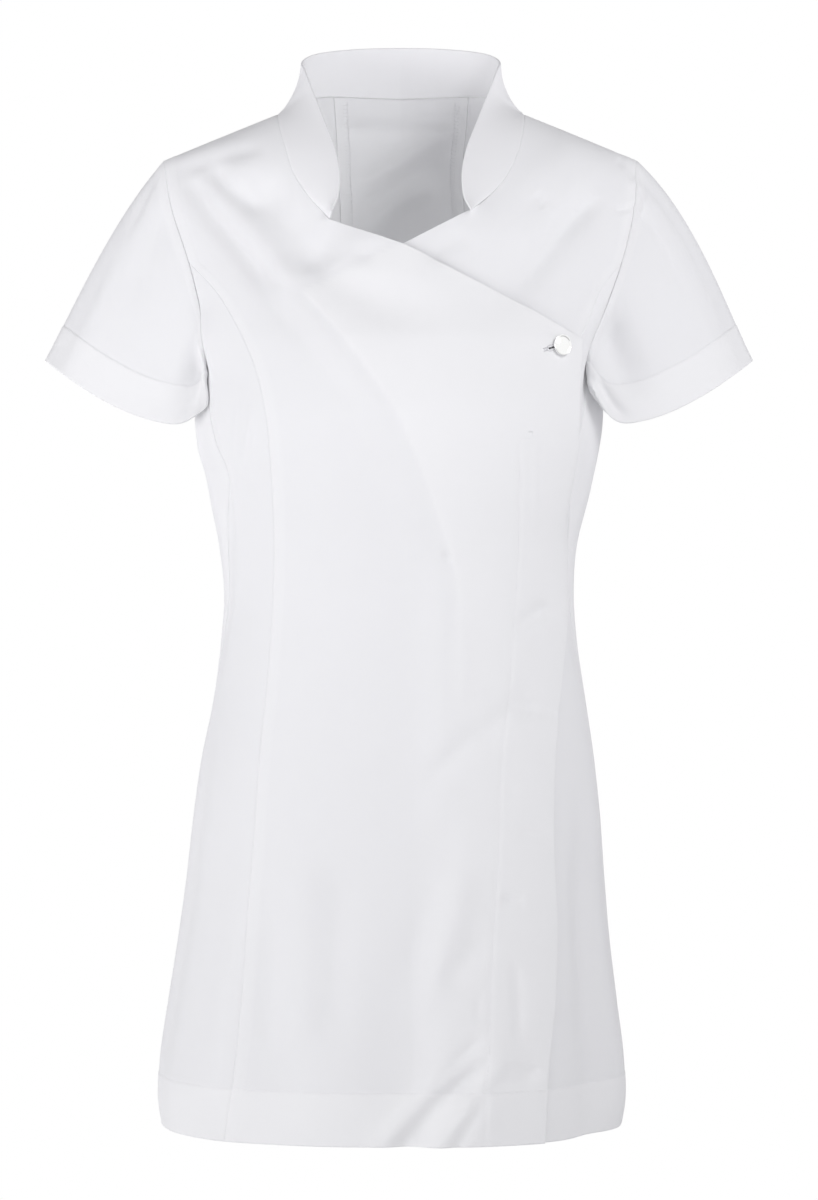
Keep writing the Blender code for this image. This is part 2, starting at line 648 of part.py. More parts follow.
def sleeve(name, side, material):
    """A sleeve lofted from its armhole to its opening."""
    places = joined(arm_high(1)[::-1], arm_low(1), arm_back(1))[:-1]
    seam, out = body(places * (side, 1))
    seam, out = seam * (side, 1, 1), out * (side, 1, 1)
    steps = np.linalg.norm(np.diff(seam, axis=0, append=seam[:1]), axis=1)
    under = FRONT_ROWS + SIDE_FRONT_STRIPS + CHEST_ROWS
    before = np.concatenate([[0], np.cumsum(steps)])[:-1]
    turn = np.where(
        np.arange(len(seam)) <= under,
        180 * before / before[under],
        180 + 180 * (before - before[under]) / (steps.sum() - before[under]),
    )
    cuff = np.stack([smooth(turn, CUFF[:, 0], column) for column in CUFF.T[1:]], axis=-1)
    round_it = np.radians(turn)[:, None]
    swell = np.maximum(np.cos(round_it), 0) * SLEEVE_CROWN + np.sin(round_it) * SLEEVE_SIDES
    chord = cuff - seam
    length = np.linalg.norm(chord, axis=1, keepdims=True)
    leave = seam + length / 3 * (chord / length + swell)
    reach = np.minimum(length, SLEEVE_REACH)
    arrive = cuff - reach / 3 * unit(0.6 * SLEEVE_END + 0.4 * chord / length)
    share = np.concatenate([np.linspace(0, 1, SLEEVE_ROWS) ** 1.15, [1.0]])[:, None, None]
    hem = 1 - SLEEVE_HEM / length
    share = np.where(np.arange(len(share))[:, None, None] < len(share) - 1, share * hem, 1)
    points = (1 - share) ** 3 * seam + 3 * (1 - share) ** 2 * share * leave
    points = points + 3 * (1 - share) * share**2 * arrive + share**3 * cuff
    along = unit(np.gradient(seam, axis=0))
    away = unit(np.cross(along, out))
    away *= np.sign((away * (ARMHOLE_MIDDLE - seam)).sum(axis=1, keepdims=True))
    first = unit(points[1] - points[0])
    turned = np.degrees(np.arctan2((first * out).sum(1), (first * away).sum(1)))[:, None]
    turned = np.where(turned < -90, turned + 360, turned)
    over = step(30, 60, turned)
    least = SLEEVE_CLEAR - FAR * (1 - over.T)
    points[1:] = clear_of_body(points[1:] * (side, 1, 1), least) * (side, 1, 1)
    normals = grid_normals(points, True)
    normals[0] = unit(out * (1 - step(0, 60, turned)) + normals[0] * step(0, 60, turned))
    points[0] += away * 1.5 * SEAM_INSET + out * 2.5 * SEAM_GAP * over
    raise_hem = np.where(np.arange(len(points)) >= len(points) - 2, HEM_RAISE, 0)[:, None, None]
    outer, inner = points + normals * raise_hem, points - normals * CLOTH
    outer, inner = outer * (side, 1, 1), inner * (side, 1, 1)
    if side < 0:
        outer, inner = outer[:, ::-1], inner[:, ::-1]
    return wall(name, outer, inner, material, closed=True)


def collar(material):
    """A stand collar from its neck seam to its free edge, with rounded ends in front."""
    right = neck_run(RIGHT_NECK_SEAM, arm_side(RIGHT_PRINCESS, -1)[:, 1])
    left = neck_run(LEFT_NECK_SEAM, arm_side(LEFT_PRINCESS, 1)[:, 1])
    wide = BACK_PRINCESS[-1, 1]
    behind = joined(
        nape(NECK_HALF, wide, NECK_STRIPS, -1),
        nape(-wide, wide, BACK_STRIPS, 1),
        nape(wide, NECK_HALF, NECK_STRIPS, 1),
    )
    places = joined(right, behind, left[::-1])
    seam, _ = body(places)
    steps = np.linalg.norm(np.diff(seam, axis=0), axis=1)
    before = np.concatenate([[0], np.cumsum(steps)])
    middle = len(right) - 1 + NECK_STRIPS + BACK_STRIPS // 2
    share = np.where(
        np.arange(len(seam)) <= middle,
        before / before[middle],
        (before[-1] - before) / (before[-1] - before[middle]),
    )
    side = np.where(np.arange(len(seam)) <= middle, -1, 1)
    away, y, z = [smooth(share, COLLAR_EDGE[:, 0], column) for column in COLLAR_EDGE.T[1:]]
    edge = np.stack([side * away + NECK_SHIFT, y, z], axis=-1)
    part = np.linspace(0, 1, COLLAR_ROWS + 1)[:, None, None]
    points = (seam + (edge - seam) * part)[:, ::-1]
    normals = grid_normals(points, False)
    points = set_in(points, normals, ("bottom",), 1.5 * SEAM_INSET)
    return wall("collar", points, points - normals * COLLAR_CLOTH, material)


def button(material):
    """A round button with a raised rim and a shank, on the axis of the place it is sewn to."""
    under = LAP_RISE + SEAM_GAP
    profile = [
        (0.0, 0.0031), (0.0030, 0.0029), (0.0054, 0.0024), (0.0060, 0.0021),
        (0.0065, 0.0023), (0.0069, 0.0028), (0.0075, 0.0028), (0.0079, 0.0022),
        (0.0080, 0.0015), (0.0077, 0.0007), (0.0067, 0.0002), (0.0054, 0.0),
        (SHANK_RADIUS, 0.0), (SHANK_RADIUS, SEAM_GAP - under), (0.0, SEAM_GAP - under),
    ]
    mesh = bpy.data.meshes.new("button")
    points = [(r, 0.0, z + under) for r, z in profile]
    mesh.from_pydata(points, [(i, i + 1) for i in range(len(points) - 1)], [])
    mesh.materials.append(material)
    item = bpy.data.objects.new("button", mesh)
    item.matrix_world = button_frame()
    turn = item.modifiers.new("turn", "SCREW")
    turn.steps = turn.render_steps = BUTTON_STEPS
    turn.use_merge_vertices = True
    turn.merge_threshold = 0.00005
    turn.use_smooth_shade = True
    return item


def button_frame():
    """The frame of the place under the button: Z out of the cloth, X away from the neckline."""
    place = np.array((angle_of(BUTTON_X, BUTTON_Z), BUTTON_Z))
    point, out = body(place)
    turn = math.radians(BUTTONHOLE_TURN)
    along = np.array((math.cos(turn), 0.0, math.sin(turn)))
    side = unit(np.cross(out, along))
    frame = np.eye(4)
    frame[:3] = np.stack([np.cross(side, out), side, out, point], axis=1)
    return Matrix(frame.tolist())


def buttonhole():
    """The cutter of the slot that the shank goes through, with round ends."""
    radius = BUTTONHOLE_WIDE / 2
    turn = np.radians(np.arange(0, 181, 30) - 90)
    end = np.stack([np.cos(turn), np.sin(turn)], axis=1) * radius
    outline = np.concatenate([end, -end + (BUTTONHOLE_WIDE - BUTTONHOLE_LONG, 0)])
    count = len(outline)
    low = np.column_stack([outline, np.full(count, 0.0004)])
    high = np.column_stack([outline, np.full(count, 0.0060)])
    ring = np.arange(count)
    after = (ring + 1) % count
    faces = np.stack([ring, after, after + count, ring + count], axis=1).tolist()
    faces += [ring[::-1].tolist(), (ring + count).tolist()]
    mesh = bpy.data.meshes.new("buttonhole")
    mesh.from_pydata(np.concatenate([low, high]).tolist(), [], faces)
    cutter = bpy.data.objects.new("buttonhole", mesh)
    cutter.matrix_world = button_frame()
    cutter.hide_render = True
    cutter.display_type = "WIRE"
    return cutter


def cloth(name, colour):
    material = bpy.data.materials.new(name)
    material.use_nodes = True
    shader = material.node_tree.nodes["Principled BSDF"]
    shader.inputs["Base Color"].default_value = (*colour, 1)
    shader.inputs["Roughness"].default_value = 0.85
    shader.inputs["Metallic"].default_value = 0.0
    return material


def polished_metal():
    material = cloth("polished metal", (0.80, 0.80, 0.82))
    shader = material.node_tree.nodes["Principled BSDF"]
    shader.inputs["Roughness"].default_value = 0.12
    shader.inputs["Metallic"].default_value = 1.0
    return material


def main():
    for item in list(bpy.data.objects):
        bpy.data.objects.remove(item, do_unlink=True)
    tunic = bpy.data.collections.new("tunic")
    bpy.context.scene.collection.children.link(tunic)
    shoulders = bpy.data.objects.new("shoulders", None)
    tunic.objects.link(shoulders)
    white = (0.86, 0.86, 0.88)
    pieces = [
        right_front(cloth("right front cloth", white)),
        left_front(cloth("left front cloth", white)),
        side_front("right_side_front", RIGHT_PRINCESS, -1, cloth("right side cloth", white)),
        side_front("left_side_front", LEFT_PRINCESS, 1, cloth("left side cloth", white)),
        back(cloth("back cloth", white)),
        side_back("right_side_back", -1, cloth("right back cloth", white)),
        side_back("left_side_back", 1, cloth("left back cloth", white)),
        sleeve("right_sleeve", -1, cloth("right sleeve cloth", white)),
        sleeve("left_sleeve", 1, cloth("left sleeve cloth", white)),
        collar(cloth("collar cloth", white)),
        button(polished_metal()),
    ]
    for piece in pieces:
        piece.parent = shoulders
        tunic.objects.link(piece)
    cutters = bpy.data.collections.new("cutters")
    bpy.context.scene.collection.children.link(cutters)
    slot = buttonhole()
    cutters.objects.link(slot)
    cut = pieces[0].modifiers.new("buttonhole", "BOOLEAN")
    cut.operation = "DIFFERENCE"
    cut.solver = "EXACT"
    cut.object = slot


main()
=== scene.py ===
# %% [markdown]
# # A beautician's tunic, worn by no one
# The real tunic is cut from white twill, most likely polyester and cotton: ten pieces of cloth
# and one metal button. The imported model gives the form it keeps on the body. Here each piece is
# made again as a thin shell on that same form, fine enough for seams, turned hems and creases.
# A cloth simulation could settle the folds, but the photograph shows a pressed garment with
# few of them, so the form's own formulas and creases placed one by one hold the shape better.

import bpy
import numpy as np
from mathutils import Matrix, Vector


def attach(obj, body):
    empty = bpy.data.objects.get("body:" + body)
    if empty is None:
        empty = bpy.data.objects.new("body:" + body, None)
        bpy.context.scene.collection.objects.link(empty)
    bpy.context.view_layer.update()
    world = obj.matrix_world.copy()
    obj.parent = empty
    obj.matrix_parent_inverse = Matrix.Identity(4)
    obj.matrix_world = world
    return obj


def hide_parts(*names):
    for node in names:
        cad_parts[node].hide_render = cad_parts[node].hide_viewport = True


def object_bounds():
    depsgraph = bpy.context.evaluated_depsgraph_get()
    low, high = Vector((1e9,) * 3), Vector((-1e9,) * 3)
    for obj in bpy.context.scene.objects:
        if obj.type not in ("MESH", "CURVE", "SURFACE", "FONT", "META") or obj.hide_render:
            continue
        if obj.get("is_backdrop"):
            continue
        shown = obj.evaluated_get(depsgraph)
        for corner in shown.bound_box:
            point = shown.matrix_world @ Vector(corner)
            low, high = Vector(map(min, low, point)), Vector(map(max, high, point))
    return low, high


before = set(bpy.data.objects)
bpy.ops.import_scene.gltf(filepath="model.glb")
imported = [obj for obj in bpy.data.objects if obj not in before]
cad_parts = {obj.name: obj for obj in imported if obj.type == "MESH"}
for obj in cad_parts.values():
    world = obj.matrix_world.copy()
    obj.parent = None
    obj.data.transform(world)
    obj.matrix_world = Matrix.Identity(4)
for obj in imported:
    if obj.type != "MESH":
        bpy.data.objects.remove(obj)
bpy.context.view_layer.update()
print("nodes:", sorted(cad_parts))

# %% [markdown]
# ## The camera
# The photograph is taken square on from in front, from far enough away that the neck and the
# hem both look nearly flat. A long lens at a real distance keeps the small difference that is
# left: the hem curves up a little at the sides, and the neck opening shows its inside.

# %% The camera
CAMERA_PLACE = (0.0078, -2.6, -0.378)

camera_data = bpy.data.cameras.new("camera")
camera_data.lens = 100
camera_data.sensor_width = 36
camera = bpy.data.objects.new("camera", camera_data)
camera.location = CAMERA_PLACE
camera.rotation_euler = (np.radians(90), 0, 0)
bpy.context.scene.collection.objects.link(camera)
bpy.context.scene.camera = camera
print("camera", CAMERA_PLACE, "lens", camera_data.lens)

# %% [markdown]
# ## The form the tunic keeps
# A dressmaker thinks of the body as level sections, and so does this form: at each height an
# oval has a half width and a depth in front and behind. Above the chest the ovals lean in to
# a roof line, which is the shoulder seam. One could sculpt it, or loft curves, but a formula
# gives the same surface at any fineness, which the CAD and this scene both need. A place is an
# angle round the body, 0 at the middle of the front and positive to the wearer's left, and a
# height.

# %% The sections and the shoulder line
ROUND = 2.3  # exponent of a section, 2 for an ellipse
CHEST_Z = -0.24
LEAN = 1.3
SHOULDER_SLOPE = 0.40
NECK_HALF = 0.096
NECK_SHIFT = 0.0015
NAPE_RISE = 0.081
HEM_Z = -0.784
HEM_LINE_Z = -0.7445
NAPE_Z = 0.0226
GIRTH = 0.0024  # metres of cloth for a degree round the body

BODY = np.array([
    # z, half width, depth in front, depth behind, shift to +X
    (-0.784, 0.1790, 0.1290, 0.1190, -0.0055),
    (-0.768, 0.1815, 0.1288, 0.1185, -0.0055),
    (-0.737, 0.1810, 0.1275, 0.1170, -0.0055),
    (-0.690, 0.1750, 0.1245, 0.1140, -0.0050),
    (-0.643, 0.1685, 0.1210, 0.1110, -0.0040),
    (-0.597, 0.1633, 0.1175, 0.1080, -0.0027),
    (-0.550, 0.1588, 0.1140, 0.1040, -0.0018),
    (-0.503, 0.1530, 0.1095, 0.0980, -0.0010),
    (-0.456, 0.1447, 0.1055, 0.0905, 0.0004),
    (-0.410, 0.1388, 0.1030, 0.0845, 0.0000),
    (-0.375, 0.1362, 0.1030, 0.0825, 0.0000),
    (-0.339, 0.1388, 0.1070, 0.0845, -0.0008),
    (-0.292, 0.1488, 0.1165, 0.0910, 0.0004),
    (-0.246, 0.1565, 0.1240, 0.0975, 0.0015),
    (-0.205, 0.1595, 0.1235, 0.1020, 0.0010),
    (-0.187, 0.1635, 0.1225, 0.1040, 0.0010),
    (-0.166, 0.1700, 0.1210, 0.1060, 0.0025),
    (-0.119, 0.1844, 0.1175, 0.1075, 0.0050),
    (-0.075, 0.1950, 0.1145, 0.1065, 0.0030),
    (-0.035, 0.2030, 0.1130, 0.1055, 0.0010),
    (0.000, 0.2100, 0.1120, 0.1050, 0.0015),
    (0.120, 0.2200, 0.1100, 0.1050, 0.0015),
])


def smooth(at, xs, ys):
    """A cubic curve through a table's rows, each with the mean slope of its neighbours."""
    slopes = np.gradient(ys, xs)
    i = np.clip(np.searchsorted(xs, at) - 1, 0, len(xs) - 2)
    gap = xs[i + 1] - xs[i]
    t = np.clip((at - xs[i]) / gap, 0, 1)
    rise = slopes[i] * (t**3 - 2 * t**2 + t) + slopes[i + 1] * (t**3 - t**2)
    return ys[i] * (2 * t**3 - 3 * t**2 + 1) + ys[i + 1] * (3 * t**2 - 2 * t**3) + gap * rise


def step(low, high, at):
    """0 below low and 1 above high, with the soft change 3 t^2 - 2 t^3 between them."""
    t = np.clip((at - low) / (high - low), 0, 1)
    return t * t * (3 - 2 * t)


def unit(vectors):
    """Each vector divided by its length."""
    return vectors / np.maximum(np.linalg.norm(vectors, axis=-1, keepdims=True), 1e-12)


def roof(x, behind):
    """The shoulder line: it falls evenly from the neck, and behind it climbs to the nape."""
    away = np.abs(x - NECK_SHIFT)
    nape_share = np.clip(1 - (away / NECK_HALF) ** 2, 0, 1) ** 1.2
    return SHOULDER_SLOPE * (NECK_HALF - away) + np.where(behind, NAPE_RISE * nape_share, 0)


def lean(x, z, behind):
    """0 up to the chest, and 1 at the roof."""
    return np.maximum((z - CHEST_Z) / (roof(x, behind) - CHEST_Z), 0)


def section(z):
    return [smooth(z, BODY[:, 0], column) for column in BODY.T[1:]]


def level(x, y, z):
    """Below 0 inside the form: |x / half|^ROUND + |y / depth|^ROUND - 1, leant at the top."""
    half, front, back, shift = section(z)
    across = (np.abs(x - shift) / half) ** ROUND
    deep = (np.abs(y) / np.where(y < 0, front, back)) ** ROUND
    return deep - (1 - across) * (1 - lean(x, z, y > 0) ** LEAN)


def level_slope(x, y, z):
    nudge = 2e-5
    return np.stack([
        level(x + nudge, y, z) - level(x - nudge, y, z),
        level(x, y + nudge, z) - level(x, y - nudge, z),
        level(x, y, z + nudge) - level(x, y, z - nudge),
    ], axis=-1) / (2 * nudge)


def angle_of(x, z):
    """The angle of the place x across on the front."""
    half, _, _, shift = section(z)
    sine = np.minimum(np.abs(x - shift) / half, 1) ** (ROUND / 2)
    return np.sign(x - shift) * np.degrees(np.arcsin(sine))


print("sections:", len(BODY), "from", BODY[0, 0], "to", BODY[-1, 0])

# %% [markdown]
# ## Folds and creases
# Cloth that hangs from the shoulders and is drawn in at the waist has few folds, and each has
# a cause: the arm's weight pulls one from the shoulder point, the hip pushes soft flutes into
# the skirt, the underarm bunches. Each is a line with a width and a height that fades at both
# ends. The large ones are the CAD's. The finer ones, in metres across and up, lie on them.

# %% Troughs and ridges
FOLDS = np.array([
    # degrees, z, degrees, z, width, rise
    (-69, -0.150, -66, -0.330, 0.0150, -0.0090),  # under the right arm
    (-66, -0.260, -80, -0.430, 0.0150, -0.0040),
    (69, -0.150, 66, -0.330, 0.0150, -0.0090),  # under the left arm
    (66, -0.260, 80, -0.430, 0.0150, -0.0040),
    (-48, -0.045, -22, -0.180, 0.0170, -0.0045),  # from the right shoulder
    (-38, -0.030, -12, -0.130, 0.0150, 0.0030),
    (-26, -0.115, 4, -0.170, 0.0160, -0.0040),
    (46, -0.060, 20, -0.165, 0.0170, -0.0045),  # from the left shoulder
    (36, -0.030, 10, -0.120, 0.0150, 0.0030),
    (-22, -0.600, -26, -0.780, 0.0180, -0.0045),  # over the hips, in front
    (-40, -0.580, -44, -0.780, 0.0170, 0.0035),
    (6, -0.640, 1, -0.782, 0.0160, -0.0035),
    (24, -0.700, 16, -0.782, 0.0140, 0.0030),
    (62, -0.520, 58, -0.782, 0.0180, -0.0045),
    (75, -0.560, 76, -0.782, 0.0160, 0.0035),
    (-72, -0.480, -76, -0.770, 0.0180, -0.0035),
    (150, -0.420, 158, -0.782, 0.0190, -0.0045),  # behind
    (-152, -0.430, -160, -0.782, 0.0190, -0.0045),
    (176, -0.500, 180, -0.782, 0.0180, 0.0040),
    (120, -0.470, 116, -0.780, 0.0180, 0.0035),
    (-122, -0.500, -118, -0.780, 0.0180, 0.0035),
    (128, -0.090, 150, -0.220, 0.0180, -0.0045),
    (-128, -0.090, -150, -0.230, 0.0180, -0.0045),
    (140, -0.300, 176, -0.350, 0.0150, -0.0030),
    (-140, -0.310, -172, -0.345, 0.0150, -0.0030),
])

FRONT_CREASES = [
    # rise, width, and the places across and up that it runs through
    (-0.0034, 0.0090, (-0.1780, -0.0400), (-0.1606, -0.0600), (-0.1428, -0.0850),
     (-0.1227, -0.1090), (-0.1033, -0.1330), (-0.0890, -0.1530)),  # from the right shoulder
    (0.0024, 0.0110, (-0.1540, -0.0520), (-0.1353, -0.0740), (-0.1131, -0.0990),
     (-0.0948, -0.1230), (-0.0820, -0.1480)),
    (-0.0030, 0.0070, (-0.1500, -0.0400), (-0.1398, -0.0507), (-0.1315, -0.0605),
     (-0.1173, -0.0724), (-0.1050, -0.0830)),
    (-0.0088, 0.0175, (-0.1300, -0.0480), (-0.1050, -0.0690), (-0.0900, -0.0850),
     (-0.0720, -0.1030), (-0.0600, -0.1160), (-0.0500, -0.1300)),
    (-0.0018, 0.0150, (-0.1400, -0.0330), (-0.1200, -0.0500), (-0.1000, -0.0680),
     (-0.0860, -0.0850)),
    (-0.0022, 0.0100, (-0.0700, -0.1340), (-0.0520, -0.1230), (-0.0340, -0.1180),
     (-0.0020, -0.1200)),
    (-0.0022, 0.0065, (-0.1860, -0.0500), (-0.1498, -0.0400), (-0.1284, -0.0350),
     (-0.0980, -0.0300)),  # under the right shoulder seam
    (-0.0026, 0.0075, (0.1500, -0.0640), (0.1463, -0.0757), (0.1320, -0.0899),
     (0.1170, -0.1094), (0.1053, -0.1270), (0.0940, -0.1470)),  # from the left shoulder
    (0.0018, 0.0090, (0.1400, -0.0440), (0.1229, -0.0770), (0.1056, -0.0960), (0.0860, -0.1160)),
    (-0.0010, 0.0045, (0.1020, -0.0700), (0.1110, -0.0800)),
    (-0.0018, 0.0080, (0.0180, -0.1280), (0.0356, -0.1119), (0.0560, -0.1020)),
    (-0.0016, 0.0050, (0.1370, -0.1680), (0.1450, -0.1540), (0.1533, -0.1434), (0.1650, -0.1211)),
    (-0.0026, 0.0055, (0.1680, -0.0350), (0.1780, -0.0400), (0.1850, -0.0560)),
    (-0.0014, 0.0020, (0.1660, -0.0800), (0.1740, -0.0775), (0.1850, -0.0735)),  # a pinch
    (0.0065, 0.0140, (-0.1560, -0.1500), (-0.1500, -0.1950), (-0.1460, -0.2450),
     (-0.1440, -0.2900)),  # fills most of the fold under the right arm
    (0.0010, 0.0032, (-0.1110, -0.2330), (-0.1142, -0.2575), (-0.1180, -0.2860)),  # right side
    (-0.0010, 0.0040, (-0.1228, -0.2200), (-0.1252, -0.2495), (-0.1270, -0.2800)),
    (-0.0007, 0.0050, (-0.1140, -0.2700), (-0.1190, -0.3300)),
    (-0.0009, 0.0120, (-0.0200, -0.2200), (0.0000, -0.2665), (0.0150, -0.3034),
     (0.0240, -0.3481), (0.0260, -0.4000)),  # beside the left front's edge
    (0.0005, 0.0065, (0.0480, -0.3600), (0.0491, -0.4230), (0.0460, -0.4650)),
    (-0.0018, 0.0022, (0.0330, -0.3420), (0.0395, -0.3485)),
    (-0.0026, 0.0085, (0.1080, -0.4300), (0.0880, -0.4560), (0.0680, -0.4740), (0.0460, -0.4900),
     (0.0280, -0.5080), (0.0180, -0.5260)),
    (-0.0020, 0.0055, (0.1140, -0.3830), (0.1000, -0.3900), (0.0850, -0.3990)),  # at the snaps
    (-0.0020, 0.0055, (0.0900, -0.4600), (0.1060, -0.4598), (0.1220, -0.4680)),
    (-0.0008, 0.0045, (0.0880, -0.5515), (0.1130, -0.5560)),
    (-0.0014, 0.0032, (0.0740, -0.6031), (0.0940, -0.6035)),
    (-0.0017, 0.0045, (0.0850, -0.6430), (0.0877, -0.6768), (0.0874, -0.7100)),
    (-0.0011, 0.0040, (0.0740, -0.7290), (0.0906, -0.7271), (0.1060, -0.7340)),
    (0.0044, 0.0160, (-0.0700, -0.5600), (-0.0735, -0.6400), (-0.0760, -0.7300)),  # the skirt
    (-0.0018, 0.0130, (-0.0400, -0.5700), (-0.0460, -0.6400), (-0.0500, -0.7200)),
    (-0.0018, 0.0100, (-0.0950, -0.5900), (-0.0970, -0.6600), (-0.0990, -0.7300)),
    (-0.0022, 0.0140, (0.0320, -0.5300), (0.0300, -0.5700), (0.0200, -0.6200), (0.0020, -0.6700)),
    (0.0022, 0.0110, (0.0480, -0.5700), (0.0420, -0.6100), (0.0260, -0.6600), (0.0120, -0.7000)),
    (-0.0017, 0.0100, (0.0640, -0.6240), (0.0500, -0.6460), (0.0300, -0.6650)),
    (-0.0006, 0.0040, (0.0584, -0.6700), (0.0584, -0.6930)),
    (-0.0020, 0.0100, (0.1240, -0.6850), (0.1330, -0.7350)),
    (-0.0072, 0.0200, (0.1500, -0.5400), (0.1510, -0.6400), (0.1500, -0.7400), (0.1480, -0.8600)),
    (-0.0020, 0.0050, (0.0660, -0.6990), (0.0490, -0.7150), (0.0350, -0.7290), (0.0240, -0.7440)),
    (-0.0052, 0.0078, (0.0740, -0.7160), (0.0580, -0.7290), (0.0420, -0.7420), (0.0300, -0.7530),
     (0.0170, -0.7700), (0.0040, -0.7850), (-0.0120, -0.8030)),  # over the hem
    (0.0032, 0.0080, (0.0480, -0.7200), (0.0330, -0.7340), (0.0200, -0.7460), (0.0070, -0.7600),
     (-0.0070, -0.7760), (-0.0220, -0.7960)),
    (0.0026, 0.0070, (0.0600, -0.7480), (0.0470, -0.7600), (0.0340, -0.7760), (0.0180, -0.8000)),
    (-0.0018, 0.0050, (0.0660, -0.7450), (0.0560, -0.7600), (0.0470, -0.7760), (0.0380, -0.8000)),
    (-0.0024, 0.0070, (0.1080, -0.7280), (0.0930, -0.7350), (0.0780, -0.7370), (0.0600, -0.7440)),
]
BACK_CREASES = [
    (0.0030, 0.0075, (-0.0520, -0.0060), (-0.0330, -0.0030), (0.0005, -0.0025), (0.0300, -0.0040),
     (0.0520, -0.0060)),  # under the collar, seen through the neck
    (0.0042, 0.0090, (0.0560, 0.0060), (0.0350, -0.0080), (0.0175, -0.0150), (0.0046, -0.0245),
     (-0.0130, -0.0350), (-0.0310, -0.0430), (-0.0540, -0.0460)),
    (0.0050, 0.0110, (0.0340, -0.0360), (0.0100, -0.0500), (-0.0092, -0.0640), (-0.0165, -0.0780),
     (-0.0200, -0.1000)),
    (-0.0026, 0.0110, (0.0420, -0.0300), (0.0150, -0.0380), (-0.0060, -0.0500), (-0.0320, -0.0680)),
    (-0.0026, 0.0090, (-0.1600, -0.0550), (-0.1350, -0.0850), (-0.1050, -0.1300)),
    (-0.0024, 0.0090, (0.1600, -0.0600), (0.1330, -0.0900), (0.1000, -0.1400)),
    (-0.0018, 0.0120, (-0.0600, -0.0800), (-0.0300, -0.1200), (-0.0150, -0.1700)),
    (-0.0018, 0.0110, (0.0700, -0.0900), (0.0400, -0.1300), (0.0250, -0.1750)),
    (-0.0016, 0.0090, (-0.0900, -0.3300), (-0.0300, -0.3500), (0.0500, -0.3650)),  # the waist
    (0.0010, 0.0080, (-0.0500, -0.3750), (0.0200, -0.3850), (0.0800, -0.3800)),
    (-0.0014, 0.0080, (-0.1200, -0.4150), (-0.0800, -0.4050), (-0.0300, -0.4150)),
    (-0.0012, 0.0080, (0.0300, -0.4200), (0.0800, -0.4050), (0.1200, -0.4150)),
    (0.0016, 0.0110, (-0.0800, -0.5900), (-0.0760, -0.6800), (-0.0740, -0.8000)),  # the skirt
    (-0.0016, 0.0110, (0.0480, -0.6000), (0.0530, -0.7000), (0.0560, -0.8000)),
    (0.0012, 0.0090, (0.1080, -0.6300), (0.1140, -0.7100), (0.1160, -0.8000)),
]


def furrows(across, up, table, lap=None):
    """The sum of height * exp(-(distance from the line / width)^2), faded at each line's ends."""
    rise = np.zeros_like(up)
    for a0, z0, a1, z1, width, height in table:
        place = across if lap is None else (across - a0 + lap / 2) % lap - lap / 2 + a0
        run = np.array((a1 - a0, z1 - z0))
        length = np.linalg.norm(run)
        along = ((place - a0) * run[0] + (up - z0) * run[1]) / length**2
        side = ((place - a0) * run[1] - (up - z0) * run[0]) / length
        ends = step(-0.2, 0.3, along) * step(-0.2, 0.3, 1 - along)
        rise = rise + height * ends * np.exp(-((side / width) ** 2))
    return rise


def creased(across, up, creases):
    """The same for creases that bend: the distance is to a smooth curve through their places,
    and each fades over the first and the last quarter of its way."""
    total = np.zeros_like(up)
    for rise, width, *places in creases:
        places = np.array(places)
        row = np.arange(len(places))
        share = np.linspace(0, row[-1], 4 * row[-1] + 1)
        line = np.stack([smooth(share, row, column) for column in places.T], axis=-1)
        low, high = line.min(axis=0) - 3 * width, line.max(axis=0) + 3 * width
        near = (across > low[0]) & (across < high[0]) & (up > low[1]) & (up < high[1])
        beside = np.stack([across[near], up[near]], axis=-1)[:, None] - line[:-1]
        run = np.diff(line, axis=0)
        part = np.clip((beside * run).sum(axis=-1) / (run**2).sum(axis=-1), 0, 1)
        distance = np.linalg.norm(beside - run * part[..., None], axis=-1)
        least = distance.argmin(axis=1)
        chosen = np.arange(len(least)), least
        along = (least + part[chosen]) / len(run)
        ends = step(0, 0.25, along) * step(0, 0.25, 1 - along)
        total[near] += rise * ends * np.exp(-((distance[chosen] / width) ** 2))
    return total


FACING = -0.01, 0.04  # metres past the middle where a side's creases start and are full
ROOF_FADE = 0.012  # all of them fade over this height below the shoulder line


def relief(x, y, z, angle):
    """How far the folds and creases move the cloth out."""
    metres = FOLDS * (GIRTH, 1, GIRTH, 1, 1, 1)
    rise = furrows(angle * GIRTH, z, metres, 360 * GIRTH)
    rise = rise + step(*FACING, -y) * creased(x, z, FRONT_CREASES)
    return rise + step(*FACING, y) * creased(x, z, BACK_CREASES)


def body(places, rise=0.0):
    """The points and outward directions at (angle, z) places: the section's x is shift +
    half sin(angle)^(2 / ROUND), its y is depth cos(angle)^(2 / ROUND), less the lean."""
    angle, z = places[..., 0], places[..., 1]
    half, front, back, shift = section(z)
    sine, cosine = np.sin(np.radians(angle)), np.cos(np.radians(angle))
    x = shift + half * np.sign(sine) * np.abs(sine) ** (2 / ROUND)
    behind = cosine < 0
    inwards = np.clip(1 - lean(x, z, behind) ** LEAN, 0, 1) ** (1 / ROUND)
    depth = np.where(behind, back, front) * np.abs(cosine) ** (2 / ROUND) * inwards
    y = np.where(behind, depth, -depth)
    out = unit(level_slope(x, y, z))
    moved = relief(x, y, z, angle) * step(0, ROOF_FADE, roof(x, behind) - z) + rise
    return np.stack([x, y, z], axis=-1) + out * np.asarray(moved)[..., None], out


print("folds:", len(FOLDS), "creases:", len(FRONT_CREASES) + len(BACK_CREASES))

# %% [markdown]
# ## The seam lines
# A pattern cutter draws the seams first and the pieces follow. Here too each seam is a short
# table of places, and a smooth curve runs through them. The two front princess seams start on
# the armholes and run over the bust to the hem. The back ones start at the neck. The right
# front ends in the lap's edge, with the slanting neckline above it.

